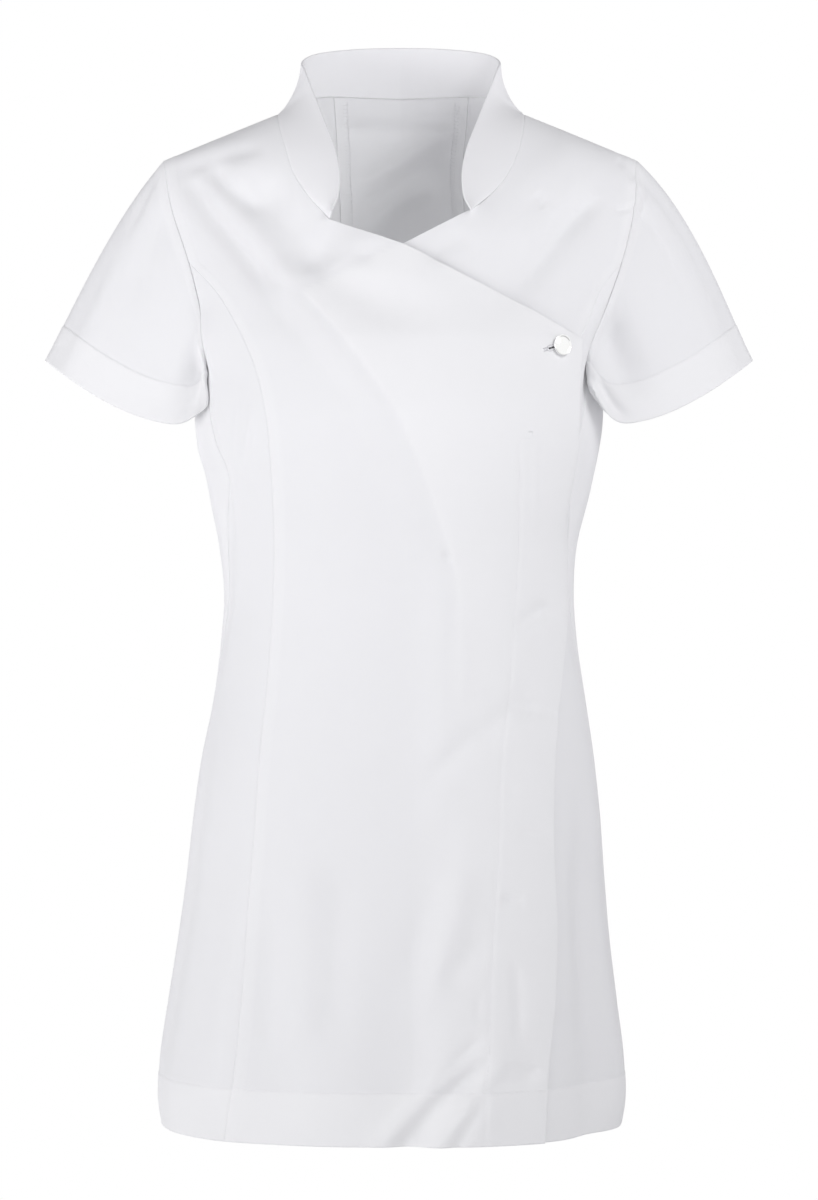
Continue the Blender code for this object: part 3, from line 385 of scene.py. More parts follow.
# %% Tables of the seams
ARMHOLE = np.array([
    # degrees, z: down the front, round the underarm and up the back
    (62.9, -0.0358), (64.6, -0.0750), (62.4, -0.1190), (62.2, -0.1560), (62.6, -0.1830),
    (65.6, -0.1960), (71.0, -0.2000), (82.0, -0.2010), (93.0, -0.1985), (103.0, -0.1920),
    (111.0, -0.1790), (115.0, -0.1550), (116.5, -0.1190), (118.0, -0.0750), (117.1, -0.0358),
])
PRINCESS_ROW, CORNER_ROW, UNDERARM_ROW, LAST_ROW = 2, 2 + 4 * 6 / 13, 6, 14
UNDERARM_Z = ARMHOLE[UNDERARM_ROW, 1]

RIGHT_PRINCESS = np.array([
    # z, x
    (-0.784, -0.1300), (-0.736, -0.1230), (-0.676, -0.1167), (-0.564, -0.1094),
    (-0.498, -0.1052), (-0.440, -0.0995), (-0.377, -0.0950), (-0.319, -0.0941),
    (-0.280, -0.0957), (-0.240, -0.0995), (-0.213, -0.1050), (-0.190, -0.1128),
    (-0.168, -0.1236), (-0.143, -0.1390),
])
LEFT_PRINCESS = np.array([
    # z, x
    (-0.784, 0.0980), (-0.700, 0.1030), (-0.600, 0.1020), (-0.500, 0.0985),
    (-0.400, 0.0960), (-0.320, 0.0985), (-0.270, 0.1065), (-0.230, 0.1175),
    (-0.200, 0.1285), (-0.180, 0.1375), (-0.162, 0.1460), (-0.140, 0.1560),
])
SIDE_SEAM = np.array([
    # z, degrees
    (-0.784, 90.0), (-0.450, 86.0), (-0.380, 80.0), (-0.320, 72.0), (-0.270, 67.5),
    (-0.235, 69.0), (-0.200, 71.0),
])
BACK_PRINCESS = np.array([
    # z, distance from the middle of the back
    (-0.784, 0.1000), (-0.650, 0.0880), (-0.500, 0.0720), (-0.385, 0.0600),
    (-0.300, 0.0580), (-0.200, 0.0560), (-0.100, 0.0510), (-0.040, 0.0500),
    (0.0215, 0.0540),
])
LAP_EDGE = np.array([
    # z, x
    (-0.784, 0.1080), (-0.728, 0.1113), (-0.688, 0.1158), (-0.628, 0.1181),
    (-0.558, 0.1155), (-0.528, 0.1155), (-0.462, 0.1195), (-0.395, 0.1265),
    (-0.318, 0.1322), (-0.270, 0.1345), (-0.215, 0.1353), (-0.1805, 0.1377),
])
RIGHT_NECKLINE = np.array([
    # x, z
    (0.1377, -0.1805), (0.1119, -0.1668), (0.0849, -0.1520), (0.0490, -0.1350),
    (0.0025, -0.1110), (-0.0250, -0.1005), (-0.0525, -0.0900),
])
RIGHT_NECK_SEAM = np.array([
    # x, z
    (-0.0525, -0.0900), (-0.0696, -0.0698), (-0.0808, -0.0510), (-0.0867, -0.0316),
    (-0.0920, -0.0135), (-0.0945, 0.0000),
])
UNDER_EDGE = np.array([
    # z, x: the hidden edge of the left front
    (-0.784, 0.0446), (-0.600, 0.0446), (-0.450, 0.0446), (-0.3757, 0.0440),
    (-0.357, 0.0415), (-0.3385, 0.0362), (-0.2992, 0.0238), (-0.2658, 0.0110),
    (-0.2339, -0.0040), (-0.2086, -0.0215), (-0.1828, -0.0406), (-0.1591, -0.0600),
    (-0.1458, -0.0716),
])
LEFT_NECKLINE = np.array([
    # x, z
    (-0.0716, -0.1458), (-0.0390, -0.1305), (0.0010, -0.1110), (0.0300, -0.0955),
    (0.0600, -0.0797),
])
LEFT_NECK_SEAM = np.array([
    # x, z
    (0.0600, -0.0797), (0.0716, -0.0690), (0.0827, -0.0541), (0.0915, -0.0339),
    (0.0955, -0.0160), (0.0975, 0.0000),
])

# %% Curves through the tables
BODY_ROWS, CHEST_ROWS, FRONT_ROWS, BACK_ROWS = 190, 30, 42, 100
HEM_ROWS, HEM_LINE_ROWS = 14, 4
NECK_CROWD = 0.75
EDGE_STEPS = np.array((0, 0.0004, 0.0009, 0.0015, 0.0023, 0.0034))  # metres


def spaced(count, width):
    """Shares from 0 to 1 across a piece this wide: even in the middle, with close ones at
    both ends where the cloth dips into a seam or turns round a fold."""
    close = EDGE_STEPS / width
    middle = np.linspace(close[-1], 1 - close[-1], count - 2 * len(close) + 3)[1:-1]
    return np.concatenate([close, middle, 1 - close[::-1]])


def crowded(count, crowd):
    """Shares from 0 to 1, closer together towards 1: 1 - (1 - t)^(1 / crowd)."""
    return 1 - (1 - np.linspace(0, 1, count + 1)) ** (1 / crowd)


def joined(*runs):
    """Runs of places end to end, without the points that they share."""
    return np.concatenate([runs[0]] + [run[1:] for run in runs[1:]])


def rows_up(top, above=0):
    """Heights from the hem to a seam's top, close together at the fold and at the stitching."""
    fold = HEM_Z + (HEM_LINE_Z - 0.002 - HEM_Z) * np.linspace(0, 1, HEM_ROWS + 1) ** 2
    line = np.linspace(HEM_LINE_Z - 0.002, HEM_LINE_Z + 0.002, HEM_LINE_ROWS + 1)
    middle = np.linspace(HEM_LINE_Z + 0.002, UNDERARM_Z, BODY_ROWS + 1)
    return joined(fold, line, middle, UNDERARM_Z + (top - UNDERARM_Z) * crowded(above, 0.8)
                  if above else middle[-1:])


def across_seam(table, heights):
    """A seam on the front, from its (z, x) table."""
    x = smooth(heights, table[:, 0], table[:, 1])
    return np.stack([angle_of(x, heights), heights], axis=-1)


def through(table, shares):
    """Places through a front edge's (x, z) table."""
    t = shares * (len(table) - 1)
    row = np.arange(len(table))
    x, z = smooth(t, row, table[:, 0]), smooth(t, row, table[:, 1])
    return np.stack([angle_of(x, z), z], axis=-1)


def armhole(start, end, shares):
    """Places on the left armhole between two of its rows, no higher than the roof."""
    t = start + (end - start) * shares
    row = np.arange(len(ARMHOLE))
    angle, z = smooth(t, row, ARMHOLE[:, 0]), smooth(t, row, ARMHOLE[:, 1])
    half, _, _, shift = section(z)
    x = shift + half * np.sin(np.radians(angle)) ** (2 / ROUND)
    return np.stack([angle, np.minimum(z, roof(x, False))], axis=-1)


def shoulder(start, end, shares):
    """Places on the roof line from one x to another."""
    x = start + (end - start) * shares
    z = roof(x, False)
    return np.stack([angle_of(x, z), z], axis=-1)


def nape(start, end, shares, side):
    """The neck seam behind, between two distances from its middle."""
    away = start + (end - start) * shares
    x = NECK_SHIFT + away * side
    z = NAPE_Z * (1 - np.minimum(np.abs(away) / NECK_HALF, 1) ** 6)
    return np.stack([180 * side - angle_of(x, z), z], axis=-1)


def hem_run(start, end, shares):
    angle = start + (end - start) * shares
    return np.stack([angle, np.full(len(shares), HEM_Z)], axis=-1)


def front_princess(table, side):
    """A front princess seam, which ends on the armhole."""
    top = armhole(PRINCESS_ROW, PRINCESS_ROW, np.zeros(1))[0]
    x = body(top[None] * (side, 1))[0][0, 0]
    seam = across_seam(np.concatenate([table, [(top[1], x)]]), rows_up(top[1], CHEST_ROWS))
    seam[-1] = top * (side, 1)
    return seam


def arm_side(table, side):
    """A front panel's side towards the arm, from the hem to the shoulder."""
    high = armhole(PRINCESS_ROW, 0, crowded(FRONT_ROWS, NECK_CROWD)) * (side, 1)
    return joined(front_princess(table, side), high)


def neck_run(neck_seam, heights):
    """A front's neck seam, with a place for each of these heights over the collar's end."""
    collar_end = np.argmin(np.abs(heights - neck_seam[0, 1]))
    return through(neck_seam, crowded(len(heights) - 1 - collar_end, NECK_CROWD))


def front_edge(edge, neckline, neck_seam, heights):
    """A front's free edge and neckline, level with these heights, and then its neck seam."""
    above = neck_run(neck_seam, heights)
    corner = np.argmin(np.abs(heights - edge[-1, 0]))
    lower = heights[: corner + 1].copy()
    upper = heights[corner : len(heights) + 1 - len(above)].copy()
    lower[-1] = upper[0] = edge[-1, 0]
    upper[-1] = neck_seam[0, 1]
    rising = neckline[np.argsort(neckline[:, 1])][:, ::-1]
    return joined(across_seam(edge, lower), across_seam(rising, upper), above)


def side_seam():
    heights = rows_up(UNDERARM_Z)
    return np.stack([smooth(heights, SIDE_SEAM[:, 0], SIDE_SEAM[:, 1]), heights], axis=-1)


def back_princess():
    """The left back princess seam, from the hem to the neck."""
    heights = rows_up(BACK_PRINCESS[-1, 0], BACK_ROWS)
    away = smooth(heights, BACK_PRINCESS[:, 0], BACK_PRINCESS[:, 1])
    turn = np.degrees(np.arcsin((away / section(heights)[0]) ** (ROUND / 2)))
    seam = np.stack([180 - turn, heights], axis=-1)
    seam[-1] = nape(BACK_PRINCESS[-1, 1], 0, np.zeros(1), 1)[0]
    return seam


def patch(bottom, top, start, end, shares):
    """Places between four runs: the mean of both ways across, less the corners' share."""
    lengths = [np.linalg.norm(np.diff(run * (GIRTH, 1), axis=0), axis=1) for run in (start, end)]
    rises = [np.concatenate([[0], np.cumsum(s)]) / s.sum() for s in lengths]
    v = ((rises[0] + rises[1]) / 2)[:, None, None]
    u = shares[None, :, None]
    sides = (1 - u) * start[:, None] + u * end[:, None]
    ends = (1 - v) * bottom[None] + v * top[None]
    corners = (1 - v) * ((1 - u) * bottom[0] + u * bottom[-1])
    return sides + ends - corners - v * ((1 - u) * top[0] + u * top[-1])


print("rows up the back:", len(back_princess()))

# %% [markdown]
# ## A shell of cloth with sewn edges
# Every panel is two layers of points with a rim round them, the outer one on the form. Real
# edges are never bare: a sewn edge dips into its seam and its allowance is pressed flat
# inside, where it shows outside as a faint pale ridge. A free edge and a hem are folded back,
# so they are nearly twice as thick, and round. All of this depends on the distance to an edge,
# so the distances are measured on the grid, and the dips and ridges are functions of them.

# %% The shell
CLOTH = 0.0009
LAYER = 0.0007  # what a turned layer adds inside
SEAM_HALF = 0.00004  # each side's share of a seam's gap
SEAM_DIP, SEAM_WIDE = 0.00030, 0.0014
FOLD_ROUND = 0.0007
ALLOWANCE = 0.0095
PRESSED_RISE, PRESSED_SOFT = 0.00022, 0.0014
PRESSED_LAYER, PRESSED_INSIDE_SOFT = 0.0004, 0.0040
HEM_RAISE = 0.0004
STITCH_DIP, STITCH_WIDE = 0.00030, 0.0010
UNEVEN, UNEVEN_LONG, UNEVEN_DRIFT = 0.6, 0.0083, 0.061  # how a hem's groove varies
ALLOWANCE_TONE = 0.5  # how much of a second layer an allowance counts as
FAR = 9.0


def quads(grid):
    """The corners of each cell of a grid, in order round the cell."""
    cells = np.stack([grid[:-1, :-1], grid[:-1, 1:], grid[1:, 1:], grid[1:, :-1]], axis=2)
    return cells.reshape(-1, 4)


def cumulated(steps, axis):
    lengths = np.cumsum(steps, axis=axis)
    return np.concatenate([np.zeros_like(np.take(lengths, [0], axis=axis)), lengths], axis=axis)


def edge_distances(points):
    """How far each point is from the four edges, measured along the grid's lines."""
    across = cumulated(np.linalg.norm(np.diff(points, axis=1), axis=-1), 1)
    up = cumulated(np.linalg.norm(np.diff(points, axis=0), axis=-1), 0)
    return {"start": across, "end": across[:, -1:] - across, "bottom": up, "top": up[-1:] - up}


def nearest(away, sides):
    """The distance to the nearest of these sides; each has True or a mask along it."""
    found = [np.where(mask, away[side], FAR) for side, mask in sides.items()]
    return np.minimum.reduce(found + [np.full_like(away["start"], FAR)])


def shell(name, outer, inner, backed, closed=False):
    """A mesh from two grids of points: both faces and the rim round them. It carries a UV map
    in metres along the grid, and how much of each point is backed by another layer."""
    rows, columns = outer.shape[:2]
    wide = np.concatenate([outer, outer[:, :1]], axis=1) if closed else outer
    across = cumulated(np.linalg.norm(np.diff(wide, axis=1), axis=-1), 1)
    up = cumulated(np.linalg.norm(np.diff(wide, axis=0), axis=-1), 0)
    across = across - across.mean(axis=1, keepdims=True)
    count = across.size
    grid = np.arange(count).reshape(rows, -1)
    under = grid + count
    rim = [np.stack([under[0], grid[0]]), np.stack([grid[-1], under[-1]])]
    if not closed:
        rim += [np.stack([grid[:, 0], under[:, 0]]), np.stack([under[:, -1], grid[:, -1]])]
    cells = np.concatenate([quads(grid), quads(under)[:, ::-1]] + [quads(edge) for edge in rim])
    vertex = np.arange(rows * columns).reshape(rows, columns)
    if closed:
        vertex = np.concatenate([vertex, vertex[:, :1]], axis=1)
    vertex = np.concatenate([vertex.ravel(), vertex.ravel() + rows * columns])
    mesh = bpy.data.meshes.new(name)
    points = np.concatenate([outer.reshape(-1, 3), inner.reshape(-1, 3)])
    mesh.from_pydata(points.tolist(), [], vertex[cells].tolist())
    uv = np.stack([across.ravel(), up.ravel()], axis=-1)[cells.ravel() % count]
    mesh.uv_layers.new(name="metres").data.foreach_set("uv", uv.astype(np.float32).ravel())
    layer = mesh.attributes.new("backed", "FLOAT", "POINT")
    both = np.concatenate([backed.ravel(), backed.ravel()])
    layer.data.foreach_set("value", both.astype(np.float32))
    mesh.shade_smooth()
    mesh.set_sharp_from_angle(angle=np.radians(55))
    item = bpy.data.objects.new(name, mesh)
    bpy.context.scene.collection.objects.link(item)
    print(name, len(cells) * 2, "triangles")
    return item


def set_in(points, out, sides, gap=SEAM_HALF):
    """Moves the sewn edges of a grid inwards along the surface by half a seam's gap."""
    moved = points.copy()
    for side in sides:
        edge, inner = {
            "bottom": (np.s_[0], np.s_[1]), "top": (np.s_[-1], np.s_[-2]),
            "start": (np.s_[:, 0], np.s_[:, 1]), "end": (np.s_[:, -1], np.s_[:, -2]),
        }[side]
        along = unit(np.gradient(points[edge], axis=0))
        inwards = unit(np.cross(out[edge], along))
        turn = np.sign(((points[inner] - points[edge]) * inwards).sum(axis=-1, keepdims=True))
        moved[edge] += inwards * turn * gap
    return moved


def dip_at_seam(distance):
    """A sewn edge sinks as (1 - distance / width)^2."""
    return -SEAM_DIP * np.clip(1 - distance / SEAM_WIDE, 0, 1) ** 2


def round_at_fold(distance, radius=FOLD_ROUND):
    """A folded edge follows a quarter of a circle."""
    t = np.clip(1 - distance / radius, 0, 1)
    return -radius * (1 - np.sqrt(np.maximum(1 - t * t, 0)))


def turned_hem(distance, depth):
    """1 where the cloth is folded back, up to the stitching."""
    return 1 - step(depth - 0.0004, depth + 0.0004, distance)


def panel(name, places, seams, folds, pressed=(), rise=0.0, faced=0.0):
    """A shell of the body over these places. seams and folds give the kind of each edge,
    pressed names the seams whose allowances lie under this panel, and faced is 1 where
    the cloth is folded back along a free edge."""
    points, out = body(places, rise)
    away = edge_distances(points)
    sewn, folded = nearest(away, seams), nearest(away, folds)
    lying = nearest(away, {side: seams[side] for side in pressed})
    under = 1 - step(ALLOWANCE - PRESSED_SOFT, ALLOWANCE + PRESSED_SOFT, lying)
    hem = turned_hem(places[..., 1] - HEM_Z, HEM_LINE_Z - HEM_Z)
    groove = np.exp(-(((places[..., 1] - HEM_LINE_Z) / STITCH_WIDE) ** 2))
    turn = places[..., 0] * GIRTH * 2 * np.pi
    groove = groove * (1 + UNEVEN * np.sin(turn / UNEVEN_LONG + 2 * np.sin(turn / UNEVEN_DRIFT)))
    proud = PRESSED_RISE * under + HEM_RAISE * hem - STITCH_DIP * groove
    proud = proud + dip_at_seam(sewn) + round_at_fold(folded)
    soft = 1 - step(ALLOWANCE - PRESSED_INSIDE_SOFT, ALLOWANCE + PRESSED_INSIDE_SOFT, lying)
    deep = CLOTH + LAYER * np.clip(hem + faced, 0, 1) + PRESSED_LAYER * soft
    deep = deep + round_at_fold(folded)
    points = set_in(points, out, seams)
    outer = points + out * proud[..., None]
    inner = points - out * (deep - dip_at_seam(sewn))[..., None]
    return shell(name, outer, inner, np.clip(hem + ALLOWANCE_TONE * under + faced, 0, 1))


print("cloth", CLOTH * 1000, "mm, with", LAYER * 1000, "mm more where it is turned in")

# %% [markdown]
# ## The right front
# The piece that one looks at: it laps over the left front from the slanting neckline to the
# hem, and hides the closing. The left front's edge shows through it as a soft step, a line of
# stitching holds the hidden placket, and the snaps under it leave shallow dents. It could be
# a plain sheet with a normal map, but the light in the photograph finds every one of these.

# %% The right front
LAP_RISE, LAP_FALL, LAP_MARGIN = 0.0034, 0.026, 0.010
UNDER_STEP = 0.0005
SKIRT_FADE = 0.36, 0.52  # depths below the origin where the under edge starts to blur, and is soft
PLACKET_TOP_Z, PLACKET_STEP = -0.2566, 0.0003
RIGHT_FRONT_COLUMNS, RIGHT_FRONT_WIDE = 142, 0.24

PLACKET_LINE = np.array([
    # z, x: the stitching that holds the placket
    (-0.7840, 0.0640), (-0.7383, 0.0650), (-0.6959, 0.0674), (-0.6466, 0.0690),
    (-0.6074, 0.0713), (-0.5732, 0.0736), (-0.4824, 0.0777), (-0.4525, 0.0815),
    (-0.4044, 0.0847), (-0.3607, 0.0878), (-0.3186, 0.0890), (-0.2576, 0.0893),
])
SNAP_DENTS = np.array([
    # x, z, radius, depth
    (0.1064, -0.3871, 0.0085, 0.0020), (0.0945, -0.4602, 0.0085, 0.0024),
    (0.0844, -0.5206, 0.0045, 0.0008), (0.0819, -0.6025, 0.0045, 0.0008),
])
PLACKET_RIDGE = np.array([(0.1008, -0.2600, 0.1013, -0.3094, 0.0022, 0.0005)])


def lap_rise(places):
    """How far the right front stands off: full over the left front, and none past its edges,
    with a small step at the left front's own edge, the placket's ridge and the dents."""
    z = places[..., 1]
    x = body(places)[0][..., 0]
    beside = x - smooth(z, UNDER_EDGE[:, 0], UNDER_EDGE[:, 1])
    below = smooth(x, LEFT_NECKLINE[:, 0], LEFT_NECKLINE[:, 1]) - z
    start, full = -LAP_FALL - LAP_MARGIN, -LAP_MARGIN
    rise = (LAP_RISE - UNDER_STEP) * step(start, full, beside) * step(start, full, below)
    soft = 0.003 + 0.040 * step(*SKIRT_FADE, -z)
    rise = rise + UNDER_STEP * step(-soft, soft, beside) * step(-0.003, 0.003, below)
    placket = x - smooth(z, PLACKET_LINE[:, 0], PLACKET_LINE[:, 1])
    below_top = step(-PLACKET_TOP_Z, -PLACKET_TOP_Z + 0.004, -z)
    rise = rise + PLACKET_STEP * below_top * (step(0, 0.0015, placket)
                                              - np.exp(-((placket / 0.0011) ** 2)))
    rise = rise + furrows(x, z, PLACKET_RIDGE)
    for dent_x, dent_z, radius, depth in SNAP_DENTS:
        rise = rise - depth * np.exp(-(((x - dent_x) / radius) ** 2) - ((z - dent_z) / radius) ** 2)
    return rise


def backed_by_lap(places):
    """1 where the right front lies on the left one, with a soft end in the skirt."""
    z = places[..., 1]
    x = body(places)[0][..., 0]
    beside = x - smooth(z, UNDER_EDGE[:, 0], UNDER_EDGE[:, 1])
    below = smooth(x, LEFT_NECKLINE[:, 0], LEFT_NECKLINE[:, 1]) - z
    soft = 0.0015 + 0.060 * step(*SKIRT_FADE, -z)
    return step(-soft, soft, beside) * step(-0.0015, 0.0015, below)


start = arm_side(RIGHT_PRINCESS, -1)
end = front_edge(LAP_EDGE, RIGHT_NECKLINE, RIGHT_NECK_SEAM, start[:, 1])
collar_end = len(end) - len(neck_run(RIGHT_NECK_SEAM, start[:, 1]))
shares = spaced(RIGHT_FRONT_COLUMNS, RIGHT_FRONT_WIDE)
right_tip_x = body(start[-1:])[0][0, 0]
top = shoulder(right_tip_x, RIGHT_NECK_SEAM[-1, 0], shares)
start[-1], end[-1] = top[0], top[-1]
places = patch(hem_run(start[0, 0], end[0, 0], shares), top, start, end, shares)
above_collar_end = (np.arange(len(end)) > collar_end)[:, None]
right_front = panel(
    "right_front_cloth", places,
    seams={"start": True, "top": True, "end": above_collar_end},
    folds={"bottom": True, "end": ~above_collar_end},
    pressed=("start",),
    rise=lap_rise(places),
    faced=backed_by_lap(places),
)

# %% [markdown]
# ## The other panels of the body
# The left front lies under the right one, and shows at the neck and beside the lap. The side
# fronts fill from the princess seams to the side seams, and the back has one middle panel and
# two side ones, so it shapes to the waist without a dart. They are all the same function.

# %% The left front and the side fronts
LEFT_FRONT_COLUMNS, LEFT_FRONT_WIDE = 66, 0.10
SIDE_FRONT_COLUMNS, SIDE_FRONT_WIDE = 44, 0.08

end = arm_side(LEFT_PRINCESS, 1)
start = front_edge(UNDER_EDGE, LEFT_NECKLINE, LEFT_NECK_SEAM, end[:, 1])
collar_end = len(start) - len(neck_run(LEFT_NECK_SEAM, end[:, 1]))
shares = spaced(LEFT_FRONT_COLUMNS, LEFT_FRONT_WIDE)
left_tip_x = body(end[-1:])[0][0, 0]
top = shoulder(LEFT_NECK_SEAM[-1, 0], left_tip_x, shares)
start[-1], end[-1] = top[0], top[-1]
places = patch(hem_run(start[0, 0], end[0, 0], shares), top, start, end, shares)
above_collar_end = (np.arange(len(end)) > collar_end)[:, None]
left_front = panel(
    "left_front_cloth", places,
    seams={"end": True, "top": True, "start": above_collar_end},
    folds={"bottom": True, "start": ~above_collar_end},
    pressed=("end",),
)


def side_front(name, table, side):
    """From the front princess seam to the side seam, up to the armhole."""
    princess = front_princess(table, side)
    shares = spaced(SIDE_FRONT_COLUMNS, SIDE_FRONT_WIDE)
    across = armhole(PRINCESS_ROW, CORNER_ROW, shares) * (side, 1)
    down = armhole(CORNER_ROW, UNDERARM_ROW, np.linspace(0, 1, CHEST_ROWS + 1)) * (side, 1)
    seam = joined(side_seam() * (side, 1), down[::-1])
    bottom = hem_run(princess[0, 0], seam[0, 0], shares)
    places = patch(bottom, across, princess, seam, shares)
    if side < 0:
        places = places[:, ::-1]
    seams = {"start": True, "end": True, "top": True}
    return panel(name, places, seams, {"bottom": True})


right_side_front = side_front("right_side_front_cloth", RIGHT_PRINCESS, -1)
left_side_front = side_front("left_side_front_cloth", LEFT_PRINCESS, 1)

# %% The back and the side backs
BACK_COLUMNS, BACK_WIDE = 84, 0.14
SIDE_BACK_COLUMNS, SIDE_BACK_WIDE = 54, 0.10
NECK_COLUMNS, NECK_WIDE = 28, 0.045


def side_back(name, side, tip_x, neck_x):
    """From the side seam and the armhole to the back princess seam, up to the shoulder."""
    inner = back_princess() * (side, 1)
    high = armhole(UNDERARM_ROW, LAST_ROW, crowded(BACK_ROWS, 0.8)) * (side, 1)
    outer = joined(side_seam() * (side, 1), high)
    shares = joined(spaced(SIDE_BACK_COLUMNS, SIDE_BACK_WIDE) * 2 / 3,
                    2 / 3 + spaced(NECK_COLUMNS, NECK_WIDE) / 3)
    on_shoulder = shoulder(tip_x, neck_x, np.minimum(shares * 1.5, 1)) * (-1, 1) + (180 * side, 0)
    on_neck = nape(NECK_HALF, BACK_PRINCESS[-1, 1], np.maximum(shares * 3 - 2, 0), side)
    top = np.where((shares <= 2 / 3)[:, None], on_shoulder, on_neck)
    outer[-1], inner[-1] = top[0], top[-1]
    places = patch(hem_run(outer[0, 0], inner[0, 0], shares), top, outer, inner, shares)
    pressed = "start"
    if side < 0:
        places, pressed = places[:, ::-1], "end"
    seams = {"start": True, "end": True, "top": True}
    return panel(name, places, seams, {"bottom": True}, (pressed,))


left = back_princess()
right = left * (-1, 1) + (360, 0)
shares = spaced(BACK_COLUMNS, BACK_WIDE)
across = nape(BACK_PRINCESS[-1, 1], -BACK_PRINCESS[-1, 1], shares, 1)
left[-1], right[-1] = across[0], across[-1]
places = patch(hem_run(left[0, 0], right[0, 0], shares), across, left, right, shares)
back = panel(
    "back_cloth", places,
    seams={"start": True, "end": True, "top": True}, folds={"bottom": True},
    pressed=("start", "end"),
)
right_side_back = side_back("right_side_back_cloth", -1, right_tip_x, RIGHT_NECK_SEAM[-1, 0])
left_side_back = side_back("left_side_back_cloth", 1, left_tip_x, LEFT_NECK_SEAM[-1, 0])

# %% [markdown]
# ## The sleeves
# A short set-in sleeve is a tube that leaves the armhole outwards and turns down to a wide
# cuff, with a hem turned up inside. The left cuff is drawn up a little under the arm, and the
# right crown is flatter, as in the photograph. Each line of cloth from the seam to the cuff is
# a curve of four control points: it leaves the seam in the way the crown swells, and arrives
# in the way the cuff points. The creases are placed by degrees round it and share along it.

# %% The sleeves
CUFF = np.array([
    # degrees round from the outside over the front, x, y, z
    (0, 0.2760, 0.0000, -0.1915),
    (35, 0.2583, -0.0300, -0.2047),
    (60, 0.2369, -0.0410, -0.2192),
    (85, 0.2120, -0.0470, -0.2325),
    (110, 0.1890, -0.0495, -0.2405),
    (135, 0.1686, -0.0510, -0.2430),
    (158, 0.1540, -0.0510, -0.2360),
    (180, 0.1470, -0.0480, -0.2290),
    (195, 0.1580, -0.0300, -0.2290),
    (210, 0.1625, -0.0100, -0.2310),
    (230, 0.1690, 0.0150, -0.2330),
    (255, 0.1830, 0.0360, -0.2310),
    (285, 0.2100, 0.0480, -0.2200),
    (315, 0.2420, 0.0430, -0.2060),
    (340, 0.2660, 0.0230, -0.1960),
    (360, 0.2760, 0.0000, -0.1915),
])
CUFF_LIFT = {1: 0.011, -1: 0.0}  # how far the left cuff is drawn up under the arm
LIFT_AT, LIFT_WIDE = 178, 28  # degrees round the sleeve
SLEEVE_END = np.array((0.49, 0.0, -0.87))
ARMHOLE_MIDDLE = np.array((0.18, 0.0, -0.12))
SLEEVE_CROWN = np.array((0.29, 0.0, 0.18))
CROWN_FULL = {1: 1.0, -1: 0.62}  # the right sleeve's crown swells less
SLEEVE_SIDES = np.array((0.0, -0.16, 0.0))
SLEEVE_REACH = 0.09
SLEEVE_HEM = 0.031
SLEEVE_STITCH_DIP, CUFF_THREAD_LIFT = 0.00015, 0.0001
HEM_SHARE = 0.85  # a hem takes up no more than this of a line of cloth
FINE_STEPS = 60
SLEEVE_CLEAR = 0.0009
SLEEVE_LIFT = 0.00035  # how far the seam's lower part stands off the body
SLEEVE_ROWS, SLEEVE_LINE_ROWS, SLEEVE_HEM_ROWS = 50, 5, 13
FIRST_ROWS = 8  # the direction that the cloth leaves the seam in is taken over these
ARM_GIRTH, ARM_LONG = 0.0011, 0.19  # metres for a degree round it, and along it

SLEEVE_CREASES = {
    1: np.array([
        # degrees, share, degrees, share, width, rise
        (132, 0.08, 110, 0.74, 0.0210, -0.0090),
        (150, 0.55, 128, 0.95, 0.0080, -0.0040),
        (168, 0.60, 150, 0.98, 0.0060, 0.0025),
        (300, 0.10, 285, 0.70, 0.0150, -0.0025),
        (240, 0.30, 255, 0.85, 0.0130, 0.0018),
        (28, 0.06, 44, 0.06, 0.0045, 0.0018),  # the pinch's other side
    ]),
    -1: np.array([
        (150, 0.30, 132, 0.95, 0.0220, -0.0090),
        (46, 0.02, 60, 0.42, 0.0120, -0.0022),
        (18, 0.40, 24, 0.98, 0.0100, -0.0012),
        (148, 0.40, 130, 0.92, 0.0100, 0.0014),
        (298, 0.10, 280, 0.72, 0.0150, -0.0025),
        (238, 0.30, 250, 0.85, 0.0130, 0.0018),
        (8, 0.02, 24, 0.26, 0.0055, -0.0018),
    ]),
}


def clear_of_body(points, least):
    """The points, moved out to this distance from the folded cloth of the body."""
    x, y, z = np.moveaxis(points, -1, 0)
    half, front, back_depth, shift = section(z)
    sine = (np.abs(x - shift) / half) ** (ROUND / 2) * np.sign(x - shift)
    cosine = -np.sign(y) * (np.abs(y) / np.where(y < 0, front, back_depth)) ** (ROUND / 2)
    slope = level_slope(x, y, z)
    distance = level(x, y, z) / np.linalg.norm(slope, axis=-1)
    distance -= relief(x, y, z, np.degrees(np.arctan2(sine, cosine)))
    return points + unit(slope) * np.maximum(least - distance, 0)[..., None]


def grid_normals(points, closed):
    """Directions square to a grid: the cross product of its two ways across."""
    if closed:
        wide = np.concatenate([points[:, -1:], points, points[:, :1]], axis=1)
        across = np.gradient(wide, axis=1)[:, 1:-1]
    else:
        across = np.gradient(points, axis=1)
    return unit(np.cross(across, np.gradient(points, axis=0)))


def four_point_curve(share, start, leave, arrive, end):
    """(1 - t)^3 start + 3 (1 - t)^2 t leave + 3 (1 - t) t^2 arrive + t^3 end."""
    left = 1 - share
    return (left**3 * start + 3 * left**2 * share * leave
            + 3 * left * share**2 * arrive + share**3 * end)


